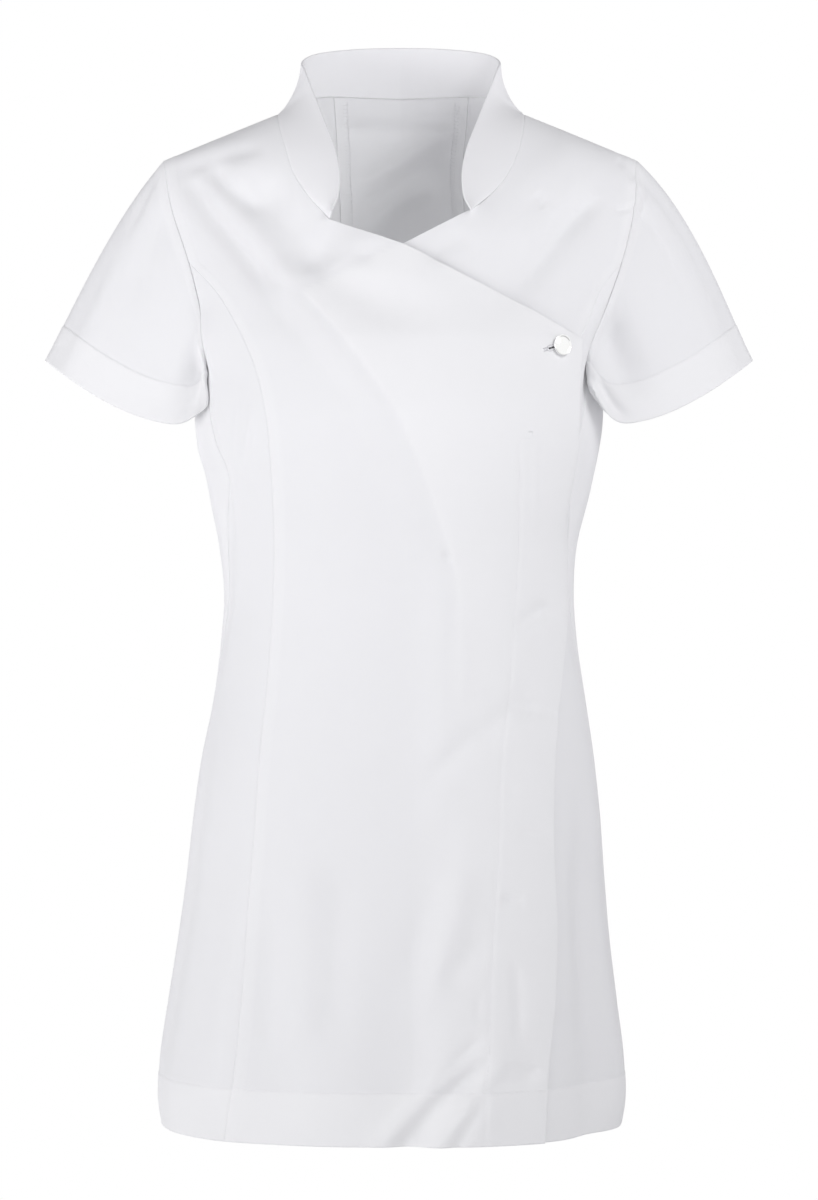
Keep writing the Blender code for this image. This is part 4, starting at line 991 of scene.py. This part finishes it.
def share_back(distances, *controls):
    """The shares at these distances back from each curve's end, measured along the curve, and
    less where the curve is too short, as it is under the arm."""
    fine = np.linspace(1, 0, FINE_STEPS + 1)[:, None, None]
    back = np.linalg.norm(np.diff(four_point_curve(fine, *controls), axis=0), axis=-1)
    back = cumulated(back, 0)
    wanted = distances[:, None] * np.minimum(1, HEM_SHARE * back[-1] / distances.max())
    row = (back[None] < wanted[:, None]).sum(axis=1) - 1
    before, after = np.take_along_axis(back, row, 0), np.take_along_axis(back, row + 1, 0)
    part = (wanted - before) / (after - before)
    return (1 - (row + part) / FINE_STEPS)[..., None]


def sleeve(name, side):
    """A sleeve lofted from its armhole to its opening, with its hem turned up inside."""
    over_front = armhole(0, UNDERARM_ROW, np.linspace(0, 1, 91))
    places = joined(over_front, armhole(UNDERARM_ROW, LAST_ROW, np.linspace(0, 1, 97)))[:-1]
    seam, out = body(places * (side, 1))
    seam, out = seam * (side, 1, 1), out * (side, 1, 1)
    before = cumulated(np.linalg.norm(np.diff(seam, axis=0, append=seam[:1]), axis=1), 0)
    under = len(over_front) - 1
    turn = np.where(
        np.arange(len(seam)) <= under,
        180 * before[:-1] / before[under],
        180 + 180 * (before[:-1] - before[under]) / (before[-1] - before[under]),
    )
    cuff = np.stack([smooth(turn, CUFF[:, 0], column) for column in CUFF.T[1:]], axis=-1)
    cuff[:, 2] += CUFF_LIFT[side] * np.exp(-(((turn - LIFT_AT) / LIFT_WIDE) ** 2))
    round_it = np.radians(turn)[:, None]
    swell = np.maximum(np.cos(round_it), 0) * SLEEVE_CROWN * CROWN_FULL[side]
    swell = swell + np.sin(round_it) * SLEEVE_SIDES
    chord = cuff - seam
    length = np.linalg.norm(chord, axis=1, keepdims=True)
    leave = seam + length / 3 * (chord / length + swell)
    reach = np.minimum(length, SLEEVE_REACH)
    arrive = cuff - reach / 3 * unit(0.6 * SLEEVE_END + 0.4 * chord / length)
    by_line = SLEEVE_HEM + np.linspace(0.002, -0.002, SLEEVE_LINE_ROWS)
    line = share_back(by_line, seam, leave, arrive, cuff)
    up = (np.linspace(0, 1, SLEEVE_ROWS + 1) ** 1.25)[:-1, None, None] * line[0]
    down = line[-1] + (1 - line[-1]) * crowded(SLEEVE_HEM_ROWS, 0.6)[1:, None, None]
    share = np.concatenate([up, line, down])
    points = four_point_curve(share, seam, leave, arrive, cuff)
    along = unit(np.gradient(seam, axis=0))
    away = unit(np.cross(along, out))
    away *= np.sign((away * (ARMHOLE_MIDDLE - seam)).sum(axis=1, keepdims=True))
    first = unit(points[FIRST_ROWS] - points[0])
    turned = np.degrees(np.arctan2((first * out).sum(1), (first * away).sum(1)))[:, None]
    turned = np.where(turned < -90, turned + 360, turned)
    over = step(30, 60, turned)
    normals = grid_normals(points, True)
    metres = SLEEVE_CREASES[side] * (ARM_GIRTH, ARM_LONG, ARM_GIRTH, ARM_LONG, 1, 1)
    degrees = np.broadcast_to(turn[None], points.shape[:2]) * ARM_GIRTH
    crease = furrows(degrees, share[..., 0] * ARM_LONG, metres, 360 * ARM_GIRTH)
    points = points + normals * (crease * step(0, 0.08, share[..., 0]))[..., None]
    from_seam = edge_distances(points)["bottom"]
    least = SLEEVE_LIFT + (SLEEVE_CLEAR - SLEEVE_LIFT) * np.clip(from_seam / 0.008, 0, 1)
    least = least - FAR * (1 - over.T)
    points[1:] = clear_of_body(points[1:] * (side, 1, 1), least[1:]) * (side, 1, 1)
    normals = grid_normals(points, True)
    normals[0] = unit(out * (1 - step(0, 60, turned)) + normals[0] * step(0, 60, turned))
    points[0] += away * SEAM_HALF + out * SLEEVE_LIFT * over
    away_from = edge_distances(points)
    folded = turned_hem(away_from["top"], SLEEVE_HEM)
    under_seam = 1 - step(ALLOWANCE - PRESSED_SOFT, ALLOWANCE + PRESSED_SOFT, away_from["bottom"])
    layers = np.clip(folded + under_seam, 0, 1)
    backed = np.clip(folded + ALLOWANCE_TONE * under_seam, 0, 1)
    groove = np.exp(-(((away_from["top"] - SLEEVE_HEM) / STITCH_WIDE) ** 2))
    proud = HEM_RAISE * folded + PRESSED_RISE * under_seam - SLEEVE_STITCH_DIP * groove
    dip = dip_at_seam(away_from["bottom"])
    fold = round_at_fold(away_from["top"])
    outer = points + normals * (proud + dip + fold)[..., None]
    inner = points - normals * (CLOTH + LAYER * layers - dip + fold)[..., None]
    outer, inner = outer * (side, 1, 1), inner * (side, 1, 1)
    sewn_row = SLEEVE_ROWS + SLEEVE_LINE_ROWS // 2
    line_out = normals[sewn_row] * (side, 1, 1)
    cuff_line = outer[sewn_row] + line_out * CUFF_THREAD_LIFT, line_out
    if side < 0:
        outer, inner, backed = outer[:, ::-1], inner[:, ::-1], backed[:, ::-1]
    return shell(name, outer, inner, backed, closed=True), cuff_line


right_sleeve, right_cuff_line = sleeve("right_sleeve_cloth", -1)
left_sleeve, left_cuff_line = sleeve("left_sleeve_cloth", 1)

# %% [markdown]
# ## The collar
# A stand collar is a band of two layers with a stiffener between them, sewn on round the
# neck. It stands up behind and opens in front, where its ends run down to points. It is the
# straight surface between the neck seam and its free edge, and its free edges are folded.

# %% The collar
COLLAR_CLOTH = 0.0020
COLLAR_ROUND = 0.0009
COLLAR_ROWS, COLLAR_WIDE = 24, 0.040
COLLAR_END_COLUMNS, COLLAR_END_WIDE, COLLAR_NAPE = 74, 0.100, 130
COLLAR_EDGE = np.array([
    # share of the neck seam from its end, x from the middle, y, z
    (0.00, 0.0535, -0.0900, -0.0840),
    (0.07, 0.0480, -0.0830, -0.0735),
    (0.15, 0.0462, -0.0730, -0.0575),
    (0.27, 0.0500, -0.0560, -0.0330),
    (0.38, 0.0585, -0.0370, -0.0090),
    (0.49, 0.0680, -0.0160, 0.0160),
    (0.58, 0.0755, 0.0040, 0.0360),
    (0.66, 0.0785, 0.0200, 0.0450),
    (0.76, 0.0690, 0.0400, 0.0540),
    (0.88, 0.0390, 0.0560, 0.0605),
    (1.00, 0.0000, 0.0610, 0.0625),
    (1.12, -0.0390, 0.0560, 0.0605),
])

right = through(RIGHT_NECK_SEAM, spaced(COLLAR_END_COLUMNS, COLLAR_END_WIDE))
left = through(LEFT_NECK_SEAM, spaced(COLLAR_END_COLUMNS, COLLAR_END_WIDE))
behind = nape(-NECK_HALF, NECK_HALF, np.linspace(0, 1, COLLAR_NAPE + 1), 1)
seam, _ = body(joined(right, behind, left[::-1]))
before = cumulated(np.linalg.norm(np.diff(seam, axis=0), axis=1), 0)
middle = len(right) - 1 + COLLAR_NAPE // 2
on_right = np.arange(len(seam)) <= middle
share = np.where(on_right, before / before[middle],
                 (before[-1] - before) / (before[-1] - before[middle]))
away, y, z = [smooth(share, COLLAR_EDGE[:, 0], column) for column in COLLAR_EDGE.T[1:]]
edge = np.stack([np.where(on_right, -1, 1) * away + NECK_SHIFT, y, z], axis=-1)
part = spaced(COLLAR_ROWS, COLLAR_WIDE)[:, None, None]
points = (seam + (edge - seam) * part)[:, ::-1]
normals = grid_normals(points, False)
points = set_in(points, normals, ("bottom",))
distances = edge_distances(points)
free = nearest(distances, {"start": True, "end": True, "top": True})
dip = dip_at_seam(distances["bottom"])
fold = round_at_fold(free, COLLAR_ROUND)
outer = points + normals * (dip + fold)[..., None]
inner = points - normals * (COLLAR_CLOTH - dip + fold)[..., None]
collar = shell("collar_cloth", outer, inner, np.ones(points.shape[:2]))

# %% [markdown]
# ## The button
# A shank button of polished metal, 16 mm wide, with a low dome inside a groove and a raised
# rim. On a lathe one would turn the same profile. The shank goes down through a worked
# buttonhole to the left front, where it is sewn.

# %% The button
BUTTON_X, BUTTON_Z = 0.1205, -0.1861
SHANK_RADIUS = 0.0009
SEAM_GAP = 0.0003
BUTTONHOLE_LONG, BUTTONHOLE_WIDE, BUTTONHOLE_TURN = 0.0135, 0.0020, 14
BUTTON_STEPS = 96
BUTTON_PROFILE = np.array([
    # radius, height over the cloth
    (0.0000, 0.00310), (0.0015, 0.00307), (0.0030, 0.00292), (0.0043, 0.00268),
    (0.0054, 0.00238), (0.0060, 0.00218), (0.0062, 0.00212), (0.0065, 0.00228),
    (0.0068, 0.00268), (0.0070, 0.00280), (0.0073, 0.00284), (0.0076, 0.00276),
    (0.0078, 0.00248), (0.0079, 0.00220), (0.0080, 0.00150), (0.0079, 0.00105),
    (0.0077, 0.00070), (0.0073, 0.00040), (0.0067, 0.00020), (0.0054, 0.00000),
    (SHANK_RADIUS, 0.00000), (SHANK_RADIUS, PRESSED_RISE - LAP_RISE),
    (0.0000, PRESSED_RISE - LAP_RISE),
])


def button_frame():
    """The frame under the button: Z out of the cloth, X along the slot to the lap's edge."""
    point, out = [row[0] for row in body(np.array([(angle_of(BUTTON_X, BUTTON_Z), BUTTON_Z)]))]
    turn = np.radians(BUTTONHOLE_TURN)
    along = np.array((np.cos(turn), 0.0, np.sin(turn)))
    side = unit(np.cross(out, along))
    return np.stack([np.cross(side, out), side, out, point], axis=1)


def in_frame(points):
    """Points given in the button's frame, in the tunic's."""
    axes = button_frame()
    return points @ axes[:, :3].T + axes[:, 3]


turn = np.linspace(0, 2 * np.pi, BUTTON_STEPS, endpoint=False)
radius, height = BUTTON_PROFILE[1:-1].T
ring = np.stack([
    radius[:, None] * np.cos(turn), radius[:, None] * np.sin(turn),
    np.broadcast_to(height[:, None], (len(radius), BUTTON_STEPS)) + LAP_RISE + SEAM_GAP,
], axis=-1)
poles = np.array([(0, 0, BUTTON_PROFILE[0, 1]), (0, 0, BUTTON_PROFILE[-1, 1])])
points = np.concatenate([ring.reshape(-1, 3), poles + (0, 0, LAP_RISE + SEAM_GAP)])
index = np.arange(ring.size // 3).reshape(len(radius), BUTTON_STEPS)
index = np.concatenate([index, index[:, :1]], axis=1)
top_pole, low_pole = len(points) - 2, len(points) - 1
cap = [(top_pole, a, b) for a, b in zip(index[0, :-1].tolist(), index[0, 1:].tolist())]
cap += [(low_pole, b, a) for a, b in zip(index[-1, :-1].tolist(), index[-1, 1:].tolist())]
mesh = bpy.data.meshes.new("button_metal")
mesh.from_pydata(in_frame(points).tolist(), [], quads(index)[:, ::-1].tolist() + cap)
mesh.shade_smooth()
mesh.set_sharp_from_angle(angle=np.radians(50))
button = bpy.data.objects.new("button_metal", mesh)
bpy.context.scene.collection.objects.link(button)
print("button", round(2000 * radius.max(), 1), "mm wide,", len(mesh.polygons), "faces")

# %% The slot of the buttonhole
SLOT_LOW, SLOT_HIGH = 0.0004, 0.0060  # over the form, past both faces of the lap
end_turn = np.radians(np.arange(0, 181, 20) - 90)
slot_radius = BUTTONHOLE_WIDE / 2
round_end = np.stack([np.cos(end_turn), np.sin(end_turn)], axis=1) * slot_radius
far_end = -round_end + (BUTTONHOLE_WIDE - BUTTONHOLE_LONG, 0)
outline = np.concatenate([round_end, far_end])
count = len(outline)
ring = np.arange(count)
after = (ring + 1) % count
low = np.column_stack([outline, np.full(count, SLOT_LOW)])
high = np.column_stack([outline, np.full(count, SLOT_HIGH)])
faces = np.stack([ring, after, after + count, ring + count], axis=1).tolist()
faces += [ring[::-1].tolist(), (ring + count).tolist()]
mesh = bpy.data.meshes.new("slot")
mesh.from_pydata(in_frame(np.concatenate([low, high])).tolist(), [], faces)
slot = bpy.data.objects.new("slot", mesh)
bpy.context.scene.collection.objects.link(slot)
cut = right_front.modifiers.new("slot", "BOOLEAN")
cut.operation, cut.solver, cut.object = "DIFFERENCE", "EXACT", slot
bpy.context.view_layer.update()
graph = bpy.context.evaluated_depsgraph_get()
done = bpy.data.meshes.new_from_object(right_front.evaluated_get(graph))
right_front.modifiers.clear()
right_front.data = done
bpy.data.objects.remove(slot)
print("right front with its slot:", len(done.polygons), "faces")

# %% [markdown]
# ## Stitches
# Lockstitch shows as a row of short thread bars, here 2.1 mm long and one every 2.7 mm, sunk a
# little in the cloth. A texture could paint them, but small lens-shaped bars catch the light as
# thread does. Each is six-sided and closed at both ends, and one mesh holds many of them.

# %% Thread
THREAD_WIDE, THREAD_HIGH = 0.00036, 0.00022
STITCH_LONG, STITCH_PITCH = 0.0021, 0.0027
HEM_THREAD_LIFT = 0.0002  # over the bottom of the groove


def sewn(name, starts, ends, out, wide=THREAD_WIDE, high=THREAD_HIGH):
    """Thread bars from starts to ends: rings of six points whose size is 0.8, 1 and 0.8 of
    full at 1/8, 1/2 and 7/8 of the way, and a tip at each end."""
    along = unit(ends - starts)
    side = unit(np.cross(along, out))
    share = np.array((0.125, 0.5, 0.875))[None, :, None, None]
    size = np.array((0.8, 1.0, 0.8))[None, :, None, None]
    turn = np.arange(6) * np.pi / 3
    round_it = (np.cos(turn)[:, None] * side[:, None, :] * wide / 2
                + np.sin(turn)[:, None] * out[:, None, :] * high)
    middle = starts[:, None, None] + (ends - starts)[:, None, None] * share
    rings = (middle + round_it[:, None] * size).reshape(len(starts), 18, 3)
    points = np.concatenate([rings, starts[:, None], ends[:, None]], axis=1)
    here, after = np.arange(6), (np.arange(6) + 1) % 6
    sides = np.concatenate([
        np.stack([here + k, after + k, after + k + 6, here + k + 6], axis=1) for k in (0, 6)
    ])[:, ::-1]
    tips = np.concatenate([
        np.stack([np.full(6, 18), here, after], axis=1),
        np.stack([np.full(6, 19), after + 12, here + 12], axis=1),
    ])[:, ::-1]
    shift = (np.arange(len(starts)) * 20)[:, None, None]
    faces = (sides[None] + shift).reshape(-1, 4).tolist()
    faces += (tips[None] + shift).reshape(-1, 3).tolist()
    mesh = bpy.data.meshes.new(name)
    mesh.from_pydata(points.reshape(-1, 3).tolist(), [], faces)
    mesh.shade_smooth()
    item = bpy.data.objects.new(name, mesh)
    bpy.context.scene.collection.objects.link(item)
    print(name, len(starts), "stitches")
    return item


def taken(values, before, at):
    """The values at these distances along a line, from those at its points."""
    return np.stack([np.interp(at, before, column) for column in values.T], axis=-1)


def paced(points, out, long=STITCH_LONG, pitch=STITCH_PITCH):
    """The starts, ends and outward directions of stitches spaced evenly along a line."""
    before = cumulated(np.linalg.norm(np.diff(points, axis=0), axis=1), 0)
    at = np.arange(pitch / 2, before[-1] - long, pitch)
    ways = unit(taken(out, before, at + long / 2))
    return taken(points, before, at), taken(points, before, at + long), ways


def on_lap(x, z):
    """Points on the right front's face, and the way out of it."""
    places = np.stack([angle_of(x, z), z], axis=-1)
    return body(places, lap_rise(places))


def run_of(*parts):
    """Several stitch lines as one set of starts, ends and directions."""
    return [np.concatenate(column) for column in zip(*parts)]


# %% The placket's stitching, its bar tack and the right front's hem
heights = np.linspace(-0.7435, -0.2576, 900)
points, out = on_lap(smooth(heights, PLACKET_LINE[:, 0], PLACKET_LINE[:, 1]), heights)
placket_line = paced(points, out)
tack_x = np.linspace(0.0893, 0.0990, 60)
points, out = on_lap(tack_x, np.full(60, PLACKET_TOP_Z))
tack_low = paced(points, out)
points, out = on_lap(np.full(40, 0.0986), np.linspace(PLACKET_TOP_Z, -0.2512, 40))
tack_side = paced(points, out, 0.0016, 0.0020)
bar_x = np.linspace(0.0955, 0.0986, 9)
bar_low, bar_out = on_lap(bar_x, np.full(9, -0.2524))
bar_high, _ = on_lap(bar_x + 0.0003, np.full(9, -0.2512))
hem_x = np.linspace(-0.1215, 0.1095, 1200)
hem_line = np.full(1200, HEM_LINE_Z)
hem_places = np.stack([angle_of(hem_x, hem_line), hem_line], axis=-1)
points, out = body(hem_places, lap_rise(hem_places) - STITCH_DIP)
right_hem = paced(points + out * HEM_THREAD_LIFT, out)
front_thread = sewn("right_front_thread", *run_of(
    placket_line, tack_low, tack_side, (bar_low, bar_high, bar_out), right_hem))

# %% The hem of the other panels, and of the sleeves
lap_angle = angle_of(0.1118, HEM_LINE_Z)
right_angle = angle_of(-0.1235, HEM_LINE_Z)
round_it = np.linspace(lap_angle, 360 + right_angle, 4000)
hem_places = np.stack([round_it, np.full(4000, HEM_LINE_Z)], axis=-1)
points, out = body(hem_places, -STITCH_DIP)
hem_thread = sewn("hem_thread", *paced(points + out * HEM_THREAD_LIFT, out))
sleeve_thread = {}
for side, line in (("right", right_cuff_line), ("left", left_cuff_line)):
    points, out = [np.concatenate([part, part[:1]]) for part in line]
    sleeve_thread[side] = sewn(side + "_sleeve_thread", *paced(points, out))

# %% The worked edge of the buttonhole
WORKED, OVER_SLOT = 0.0014, 0.0006  # how far the thread reaches out and over the slot
closed_outline = np.concatenate([outline, outline[:1]])
reach = cumulated(np.linalg.norm(np.diff(closed_outline, axis=0), axis=1), 0)
at = np.linspace(0, reach[-1], 97)[:-1]
inside = taken(closed_outline, reach, at)
middle_x = np.clip(inside[:, 0], BUTTONHOLE_WIDE - BUTTONHOLE_LONG, 0)
outwards = unit(inside - np.stack([middle_x, np.zeros(96)], axis=-1))
near = in_frame(np.column_stack([inside - outwards * OVER_SLOT, np.zeros(96)]))
far = in_frame(np.column_stack([inside + outwards * WORKED, np.zeros(96)]))
starts, bar_out = on_lap(near[:, 0], near[:, 2])
ends, _ = on_lap(far[:, 0], far[:, 2])
bar_x = np.linspace(-0.0168, BUTTONHOLE_WIDE / 2 - BUTTONHOLE_LONG - 0.0004, 9)
bars = [in_frame(np.column_stack([bar_x, np.full(9, y), np.zeros(9)])) for y in (-0.0015, 0.0015)]
(tack_starts, tack_out), (tack_ends, _) = [on_lap(bar[:, 0], bar[:, 2]) for bar in bars]
buttonhole_thread = sewn("buttonhole_thread", *run_of(
    (starts, ends, bar_out), (tack_starts, tack_ends, tack_out)), 0.00044, 0.00035)

# %% The overlocked allowances inside the back
OVERLOCK_PITCH = 0.0030
OVERLOCK_NEAR, OVERLOCK_FAR = 0.0039, 0.00624  # metres from the seam
seam = back_princess()[20:-3]
back_inside = []
for side in (1, -1):
    line = seam * (side, 1)
    low, out = body(line + (OVERLOCK_NEAR / GIRTH * side, 0))
    high, _ = body(line + (OVERLOCK_FAR / GIRTH * side, 0))
    depth = out * (CLOTH + PRESSED_LAYER + 0.0001)
    low, high = low - depth, high - depth
    before = cumulated(np.linalg.norm(np.diff(low, axis=0), axis=1), 0)
    at = np.arange(0.002, before[-1] - 0.003, OVERLOCK_PITCH)
    inwards = -taken(out, before, at)
    back_inside += [
        (taken(low, before, at), taken(high, before, at + OVERLOCK_PITCH * 0.4), inwards),
        (taken(high, before, at + OVERLOCK_PITCH * 0.45),
         taken(high, before, at + OVERLOCK_PITCH * 1.35), inwards),
    ]
overlock_thread = sewn("back_overlock_thread", *run_of(*back_inside), 0.00026, 0.00012)

# %% [markdown]
# ## Materials
# White workwear twill is far from plain up close: a diagonal rib every 0.6 mm across, slubs,
# and a tone that changes where a second layer lies behind it, because one layer lets some light
# through. The twill reads the UV map in metres, so that it follows each piece, and the second
# layer comes from the attribute that each shell carries. A small class lets the node trees be
# written as sums.

# %% Sums of sockets
class Wire:
    """A socket of a node tree, which adds, subtracts, multiplies and so on with others."""

    def __init__(self, tree, socket=None):
        self.tree, self.socket = tree, socket

    def make(self, kind, settings, values, output=0):
        """Any node, from its type, its settings and what its sockets take."""
        node = self.tree.nodes.new(kind)
        for name, value in settings.items():
            setattr(node, name, value)
        for key, value in values.items():
            if isinstance(value, Wire):
                self.tree.links.new(value.socket, node.inputs[key])
            else:
                node.inputs[key].default_value = value
        return Wire(self.tree, node.outputs[output])

    def math(self, operation, *values):
        return self.make("ShaderNodeMath", {"operation": operation}, dict(enumerate(values)))

    def __add__(self, other):
        return self.math("ADD", self, other)

    def __sub__(self, other):
        return self.math("SUBTRACT", self, other)

    def __mul__(self, other):
        return self.math("MULTIPLY", self, other)

    def __rsub__(self, other):
        return self.math("SUBTRACT", other, self)

    __radd__, __rmul__ = __add__, __mul__

    def sine(self):
        return self.math("SINE", self)

    def at_most(self, value):
        return self.math("MINIMUM", self, value)

    def mixed(self, low, high):
        """low where this is 0, and high where it is 1, as colours."""
        return self.make(
            "ShaderNodeMix", {"data_type": "RGBA"}, {0: self, 6: low, 7: high}, 2)


def new_finish(name, **constants):
    """A new material, its shader with these constants, and a wire to build from."""
    material = bpy.data.materials.new(name)
    material.use_nodes = True
    shader = material.node_tree.nodes["Principled BSDF"]
    for key, value in constants.items():
        shader.inputs[key.replace("_", " ")].default_value = value
    return material, shader, Wire(material.node_tree)


def fit(shader, wire, socket):
    """Joins a wire to one of the shader's sockets."""
    wire.tree.links.new(wire.socket, shader.inputs[socket])


# %% The cloth
SINGLE = (0.818, 0.820, 0.830, 1)
DOUBLE = (0.852, 0.854, 0.860, 1)
TWILL = 0.0006  # metres across, from rib to rib


def twill_cloth(name, single, double):
    material, shader, wire = new_finish(
        name, Roughness=0.85, Sheen_Weight=0.12, Sheen_Roughness=0.5)
    shader.inputs["Specular IOR Level"].default_value = 0.25
    place = wire.make("ShaderNodeTexCoord", {}, {}, "Object")
    metres = wire.make("ShaderNodeUVMap", {"uv_map": "metres"}, {})
    apart = wire.make("ShaderNodeSeparateXYZ", {}, {0: metres}, 0)
    across, up = apart, Wire(wire.tree, apart.socket.node.outputs[1])
    backed = wire.make("ShaderNodeAttribute", {"attribute_name": "backed"}, {}, "Fac")
    cloud = wire.make("ShaderNodeTexNoise", {}, {"Vector": place, "Scale": 9.0, "Detail": 3.0})
    slub = wire.make("ShaderNodeTexNoise", {}, {"Vector": place, "Scale": 420.0, "Detail": 2.0})
    ribs = ((across + up * 0.8) * (2 * np.pi / TWILL)).sine()
    threads = ((up - across) * (4 * np.pi / TWILL)).sine()
    tone = (backed * 0.85 + cloud * 0.16 + slub * 0.06 - 0.06).at_most(1.0)
    fit(shader, tone.mixed(single, double), "Base Color")
    fit(shader, 0.80 + slub * 0.12, "Roughness")
    weave = ribs * 0.5 + threads * 0.25 + slub * 1.4
    bump = wire.make("ShaderNodeBump", {}, {"Strength": 0.35, "Distance": 0.00012, "Height": weave})
    fit(shader, bump, "Normal")
    return material


tunic_cloth = twill_cloth("tunic twill", SINGLE, DOUBLE)
collar_twill = twill_cloth("collar twill", SINGLE, (0.845, 0.845, 0.856, 1))

# %% The thread and the metal
thread, thread_shader, wire = new_finish("white thread", Roughness=0.7, Sheen_Weight=0.1)
place = wire.make("ShaderNodeTexCoord", {}, {}, "Object")
ply = wire.make("ShaderNodeTexNoise", {}, {"Vector": place, "Scale": 2600.0, "Detail": 1.0})
fit(thread_shader, ply.mixed((0.80, 0.805, 0.825, 1), (0.88, 0.883, 0.895, 1)), "Base Color")
bump = wire.make("ShaderNodeBump", {}, {"Strength": 0.4, "Distance": 0.00005, "Height": ply})
fit(thread_shader, bump, "Normal")

metal, metal_shader, wire = new_finish("polished metal", Metallic=1.0)
place = wire.make("ShaderNodeTexCoord", {}, {}, "Object")
scuff = wire.make("ShaderNodeTexNoise", {}, {"Vector": place, "Scale": 700.0, "Detail": 3.0})
fit(metal_shader, scuff.mixed((0.93, 0.93, 0.92, 1), (0.97, 0.97, 0.96, 1)), "Base Color")
fit(metal_shader, 0.06 + scuff * 0.08, "Roughness")
print("materials:", [m.name for m in (tunic_cloth, collar_twill, thread, metal)])

# %% [markdown]
# ## What each piece stands for
# Each shell takes the place of its CAD solid, which is hidden, and rides on the one body. The
# table gives the size each was cut to, without hems and allowances. The threads go with it.

# %% Materials and bodies
CUTS = [
    # piece, node, width and length of the cut as it shows, its area, its thread
    (right_front, "right_front", 0.315, 0.790, 0.180, [front_thread, buttonhole_thread]),
    (left_front, "left_front", 0.225, 0.790, 0.075, []),
    (right_side_front, "right_side_front", 0.125, 0.670, 0.059, []),
    (left_side_front, "left_side_front", 0.135, 0.670, 0.059, []),
    (back, "back", 0.205, 0.820, 0.112, [overlock_thread, hem_thread]),
    (right_side_back, "right_side_back", 0.200, 0.800, 0.118, []),
    (left_side_back, "left_side_back", 0.200, 0.800, 0.118, []),
    (right_sleeve, "right_sleeve", 0.400, 0.200, 0.039, [sleeve_thread["right"]]),
    (left_sleeve, "left_sleeve", 0.400, 0.200, 0.040, [sleeve_thread["left"]]),
    (collar, "collar", 0.490, 0.045, 0.0186, []),
]

for piece, node, width, length, area, threads in CUTS:
    piece.data.materials.clear()
    piece.data.materials.append(collar_twill if node == "collar" else tunic_cloth)
    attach(piece, "root")
    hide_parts(node)
    for item in threads:
        item.data.materials.append(thread)
        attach(item, "root")
button.data.materials.append(metal)
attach(button, "root")
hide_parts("button")
print("cloth in all:", round(sum(cut[4] for cut in CUTS), 3), "square metres")

# %% [markdown]
# ## Light and floor
# The photograph is a catalogue picture: a white ground, and large soft lights that leave only
# pale grey shadows in the neck, under the sleeves and beside the lap. The world is white to
# the camera and in reflections, and as a light it fades from below to nothing overhead. Two
# wide lights stand to the left and low on the left, one high on the right, and a faint one
# inside stands for the light that comes through the white cloth of the back. The floor is a
# pale disc well below the hem.

# %% Light
scene = bpy.context.scene
scene.view_settings.view_transform = "Standard"
world = bpy.data.worlds.new("studio")
scene.world = world
world.use_nodes = True
ground = world.node_tree.nodes["Background"]
ground.inputs["Color"].default_value = (0.968, 0.960, 1, 1)
wire = Wire(world.node_tree)
place = wire.make("ShaderNodeTexCoord", {}, {}, "Generated")
height = wire.make("ShaderNodeSeparateXYZ", {}, {0: place}, "Z")
fading = wire.make("ShaderNodeMapRange", {}, {
    "Value": height, "From Min": -1, "From Max": 1, "To Min": 1.82, "To Max": 0})
world.node_tree.links.new(fading.socket, ground.inputs["Strength"])
to_camera = wire.make("ShaderNodeLightPath", {}, {}, "Is Camera Ray")
glossy = Wire(world.node_tree, to_camera.socket.node.outputs["Is Glossy Ray"])
white = wire.make("ShaderNodeBackground", {}, {"Color": (1, 1, 1, 1)})
either = wire.make("ShaderNodeMixShader", {}, {
    0: to_camera + glossy, 1: Wire(world.node_tree, ground.outputs[0]), 2: white})
world.node_tree.links.new(either.socket, world.node_tree.nodes["World Output"].inputs["Surface"])


def soft_light(name, place, aim, size, power):
    """A square area light that faces a point."""
    data = bpy.data.lights.new(name, "AREA")
    data.shape, data.size, data.energy = "SQUARE", size, power
    lamp = bpy.data.objects.new(name, data)
    back_way = unit(np.array(place, float) - np.array(aim, float))
    side = unit(np.cross((0, 0, 1), back_way))
    axes = np.eye(4)
    axes[:3] = np.stack([side, np.cross(back_way, side), back_way, place], axis=1)
    lamp.matrix_world = Matrix(axes.tolist())
    scene.collection.objects.link(lamp)
    print(name, place, power, "W")


soft_light("left", (-2.6, -1.0, -0.3), (0, 0, -0.4), 1.2, 15)
soft_light("low left", (-2.2, -1.8, -1.0), (0, 0, -0.6), 1.2, 17)
soft_light("high right", (1.5, -1.7, 1.0), (0, 0, -0.1), 1.0, 24)
glow = bpy.data.lights.new("glow through the back", "POINT")
glow.energy, glow.shadow_soft_size = 0.33, 0.06
lamp = bpy.data.objects.new("glow through the back", glow)
lamp.location = (0, -0.01, -0.33)
scene.collection.objects.link(lamp)

# %% The floor
FLOOR_Z, FLOOR_RADIUS = -1.38, 2.4
turn = np.linspace(0, 2 * np.pi, 97)[:-1]
rim = np.stack([np.cos(turn), np.sin(turn), np.zeros(96)], axis=-1) * FLOOR_RADIUS
mesh = bpy.data.meshes.new("floor")
mesh.from_pydata((rim + (0, 0, FLOOR_Z)).tolist(), [], [list(range(96))])
floor = bpy.data.objects.new("floor", mesh)
scene.collection.objects.link(floor)
paint, paint_shader, wire = new_finish("pale floor", Roughness=0.9)
paint_shader.inputs["Base Color"].default_value = (0.86, 0.86, 0.86, 1)
mesh.materials.append(paint)
floor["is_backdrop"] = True
print("floor at", FLOOR_Z)

# %% The bounds of all that is shown
low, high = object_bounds()
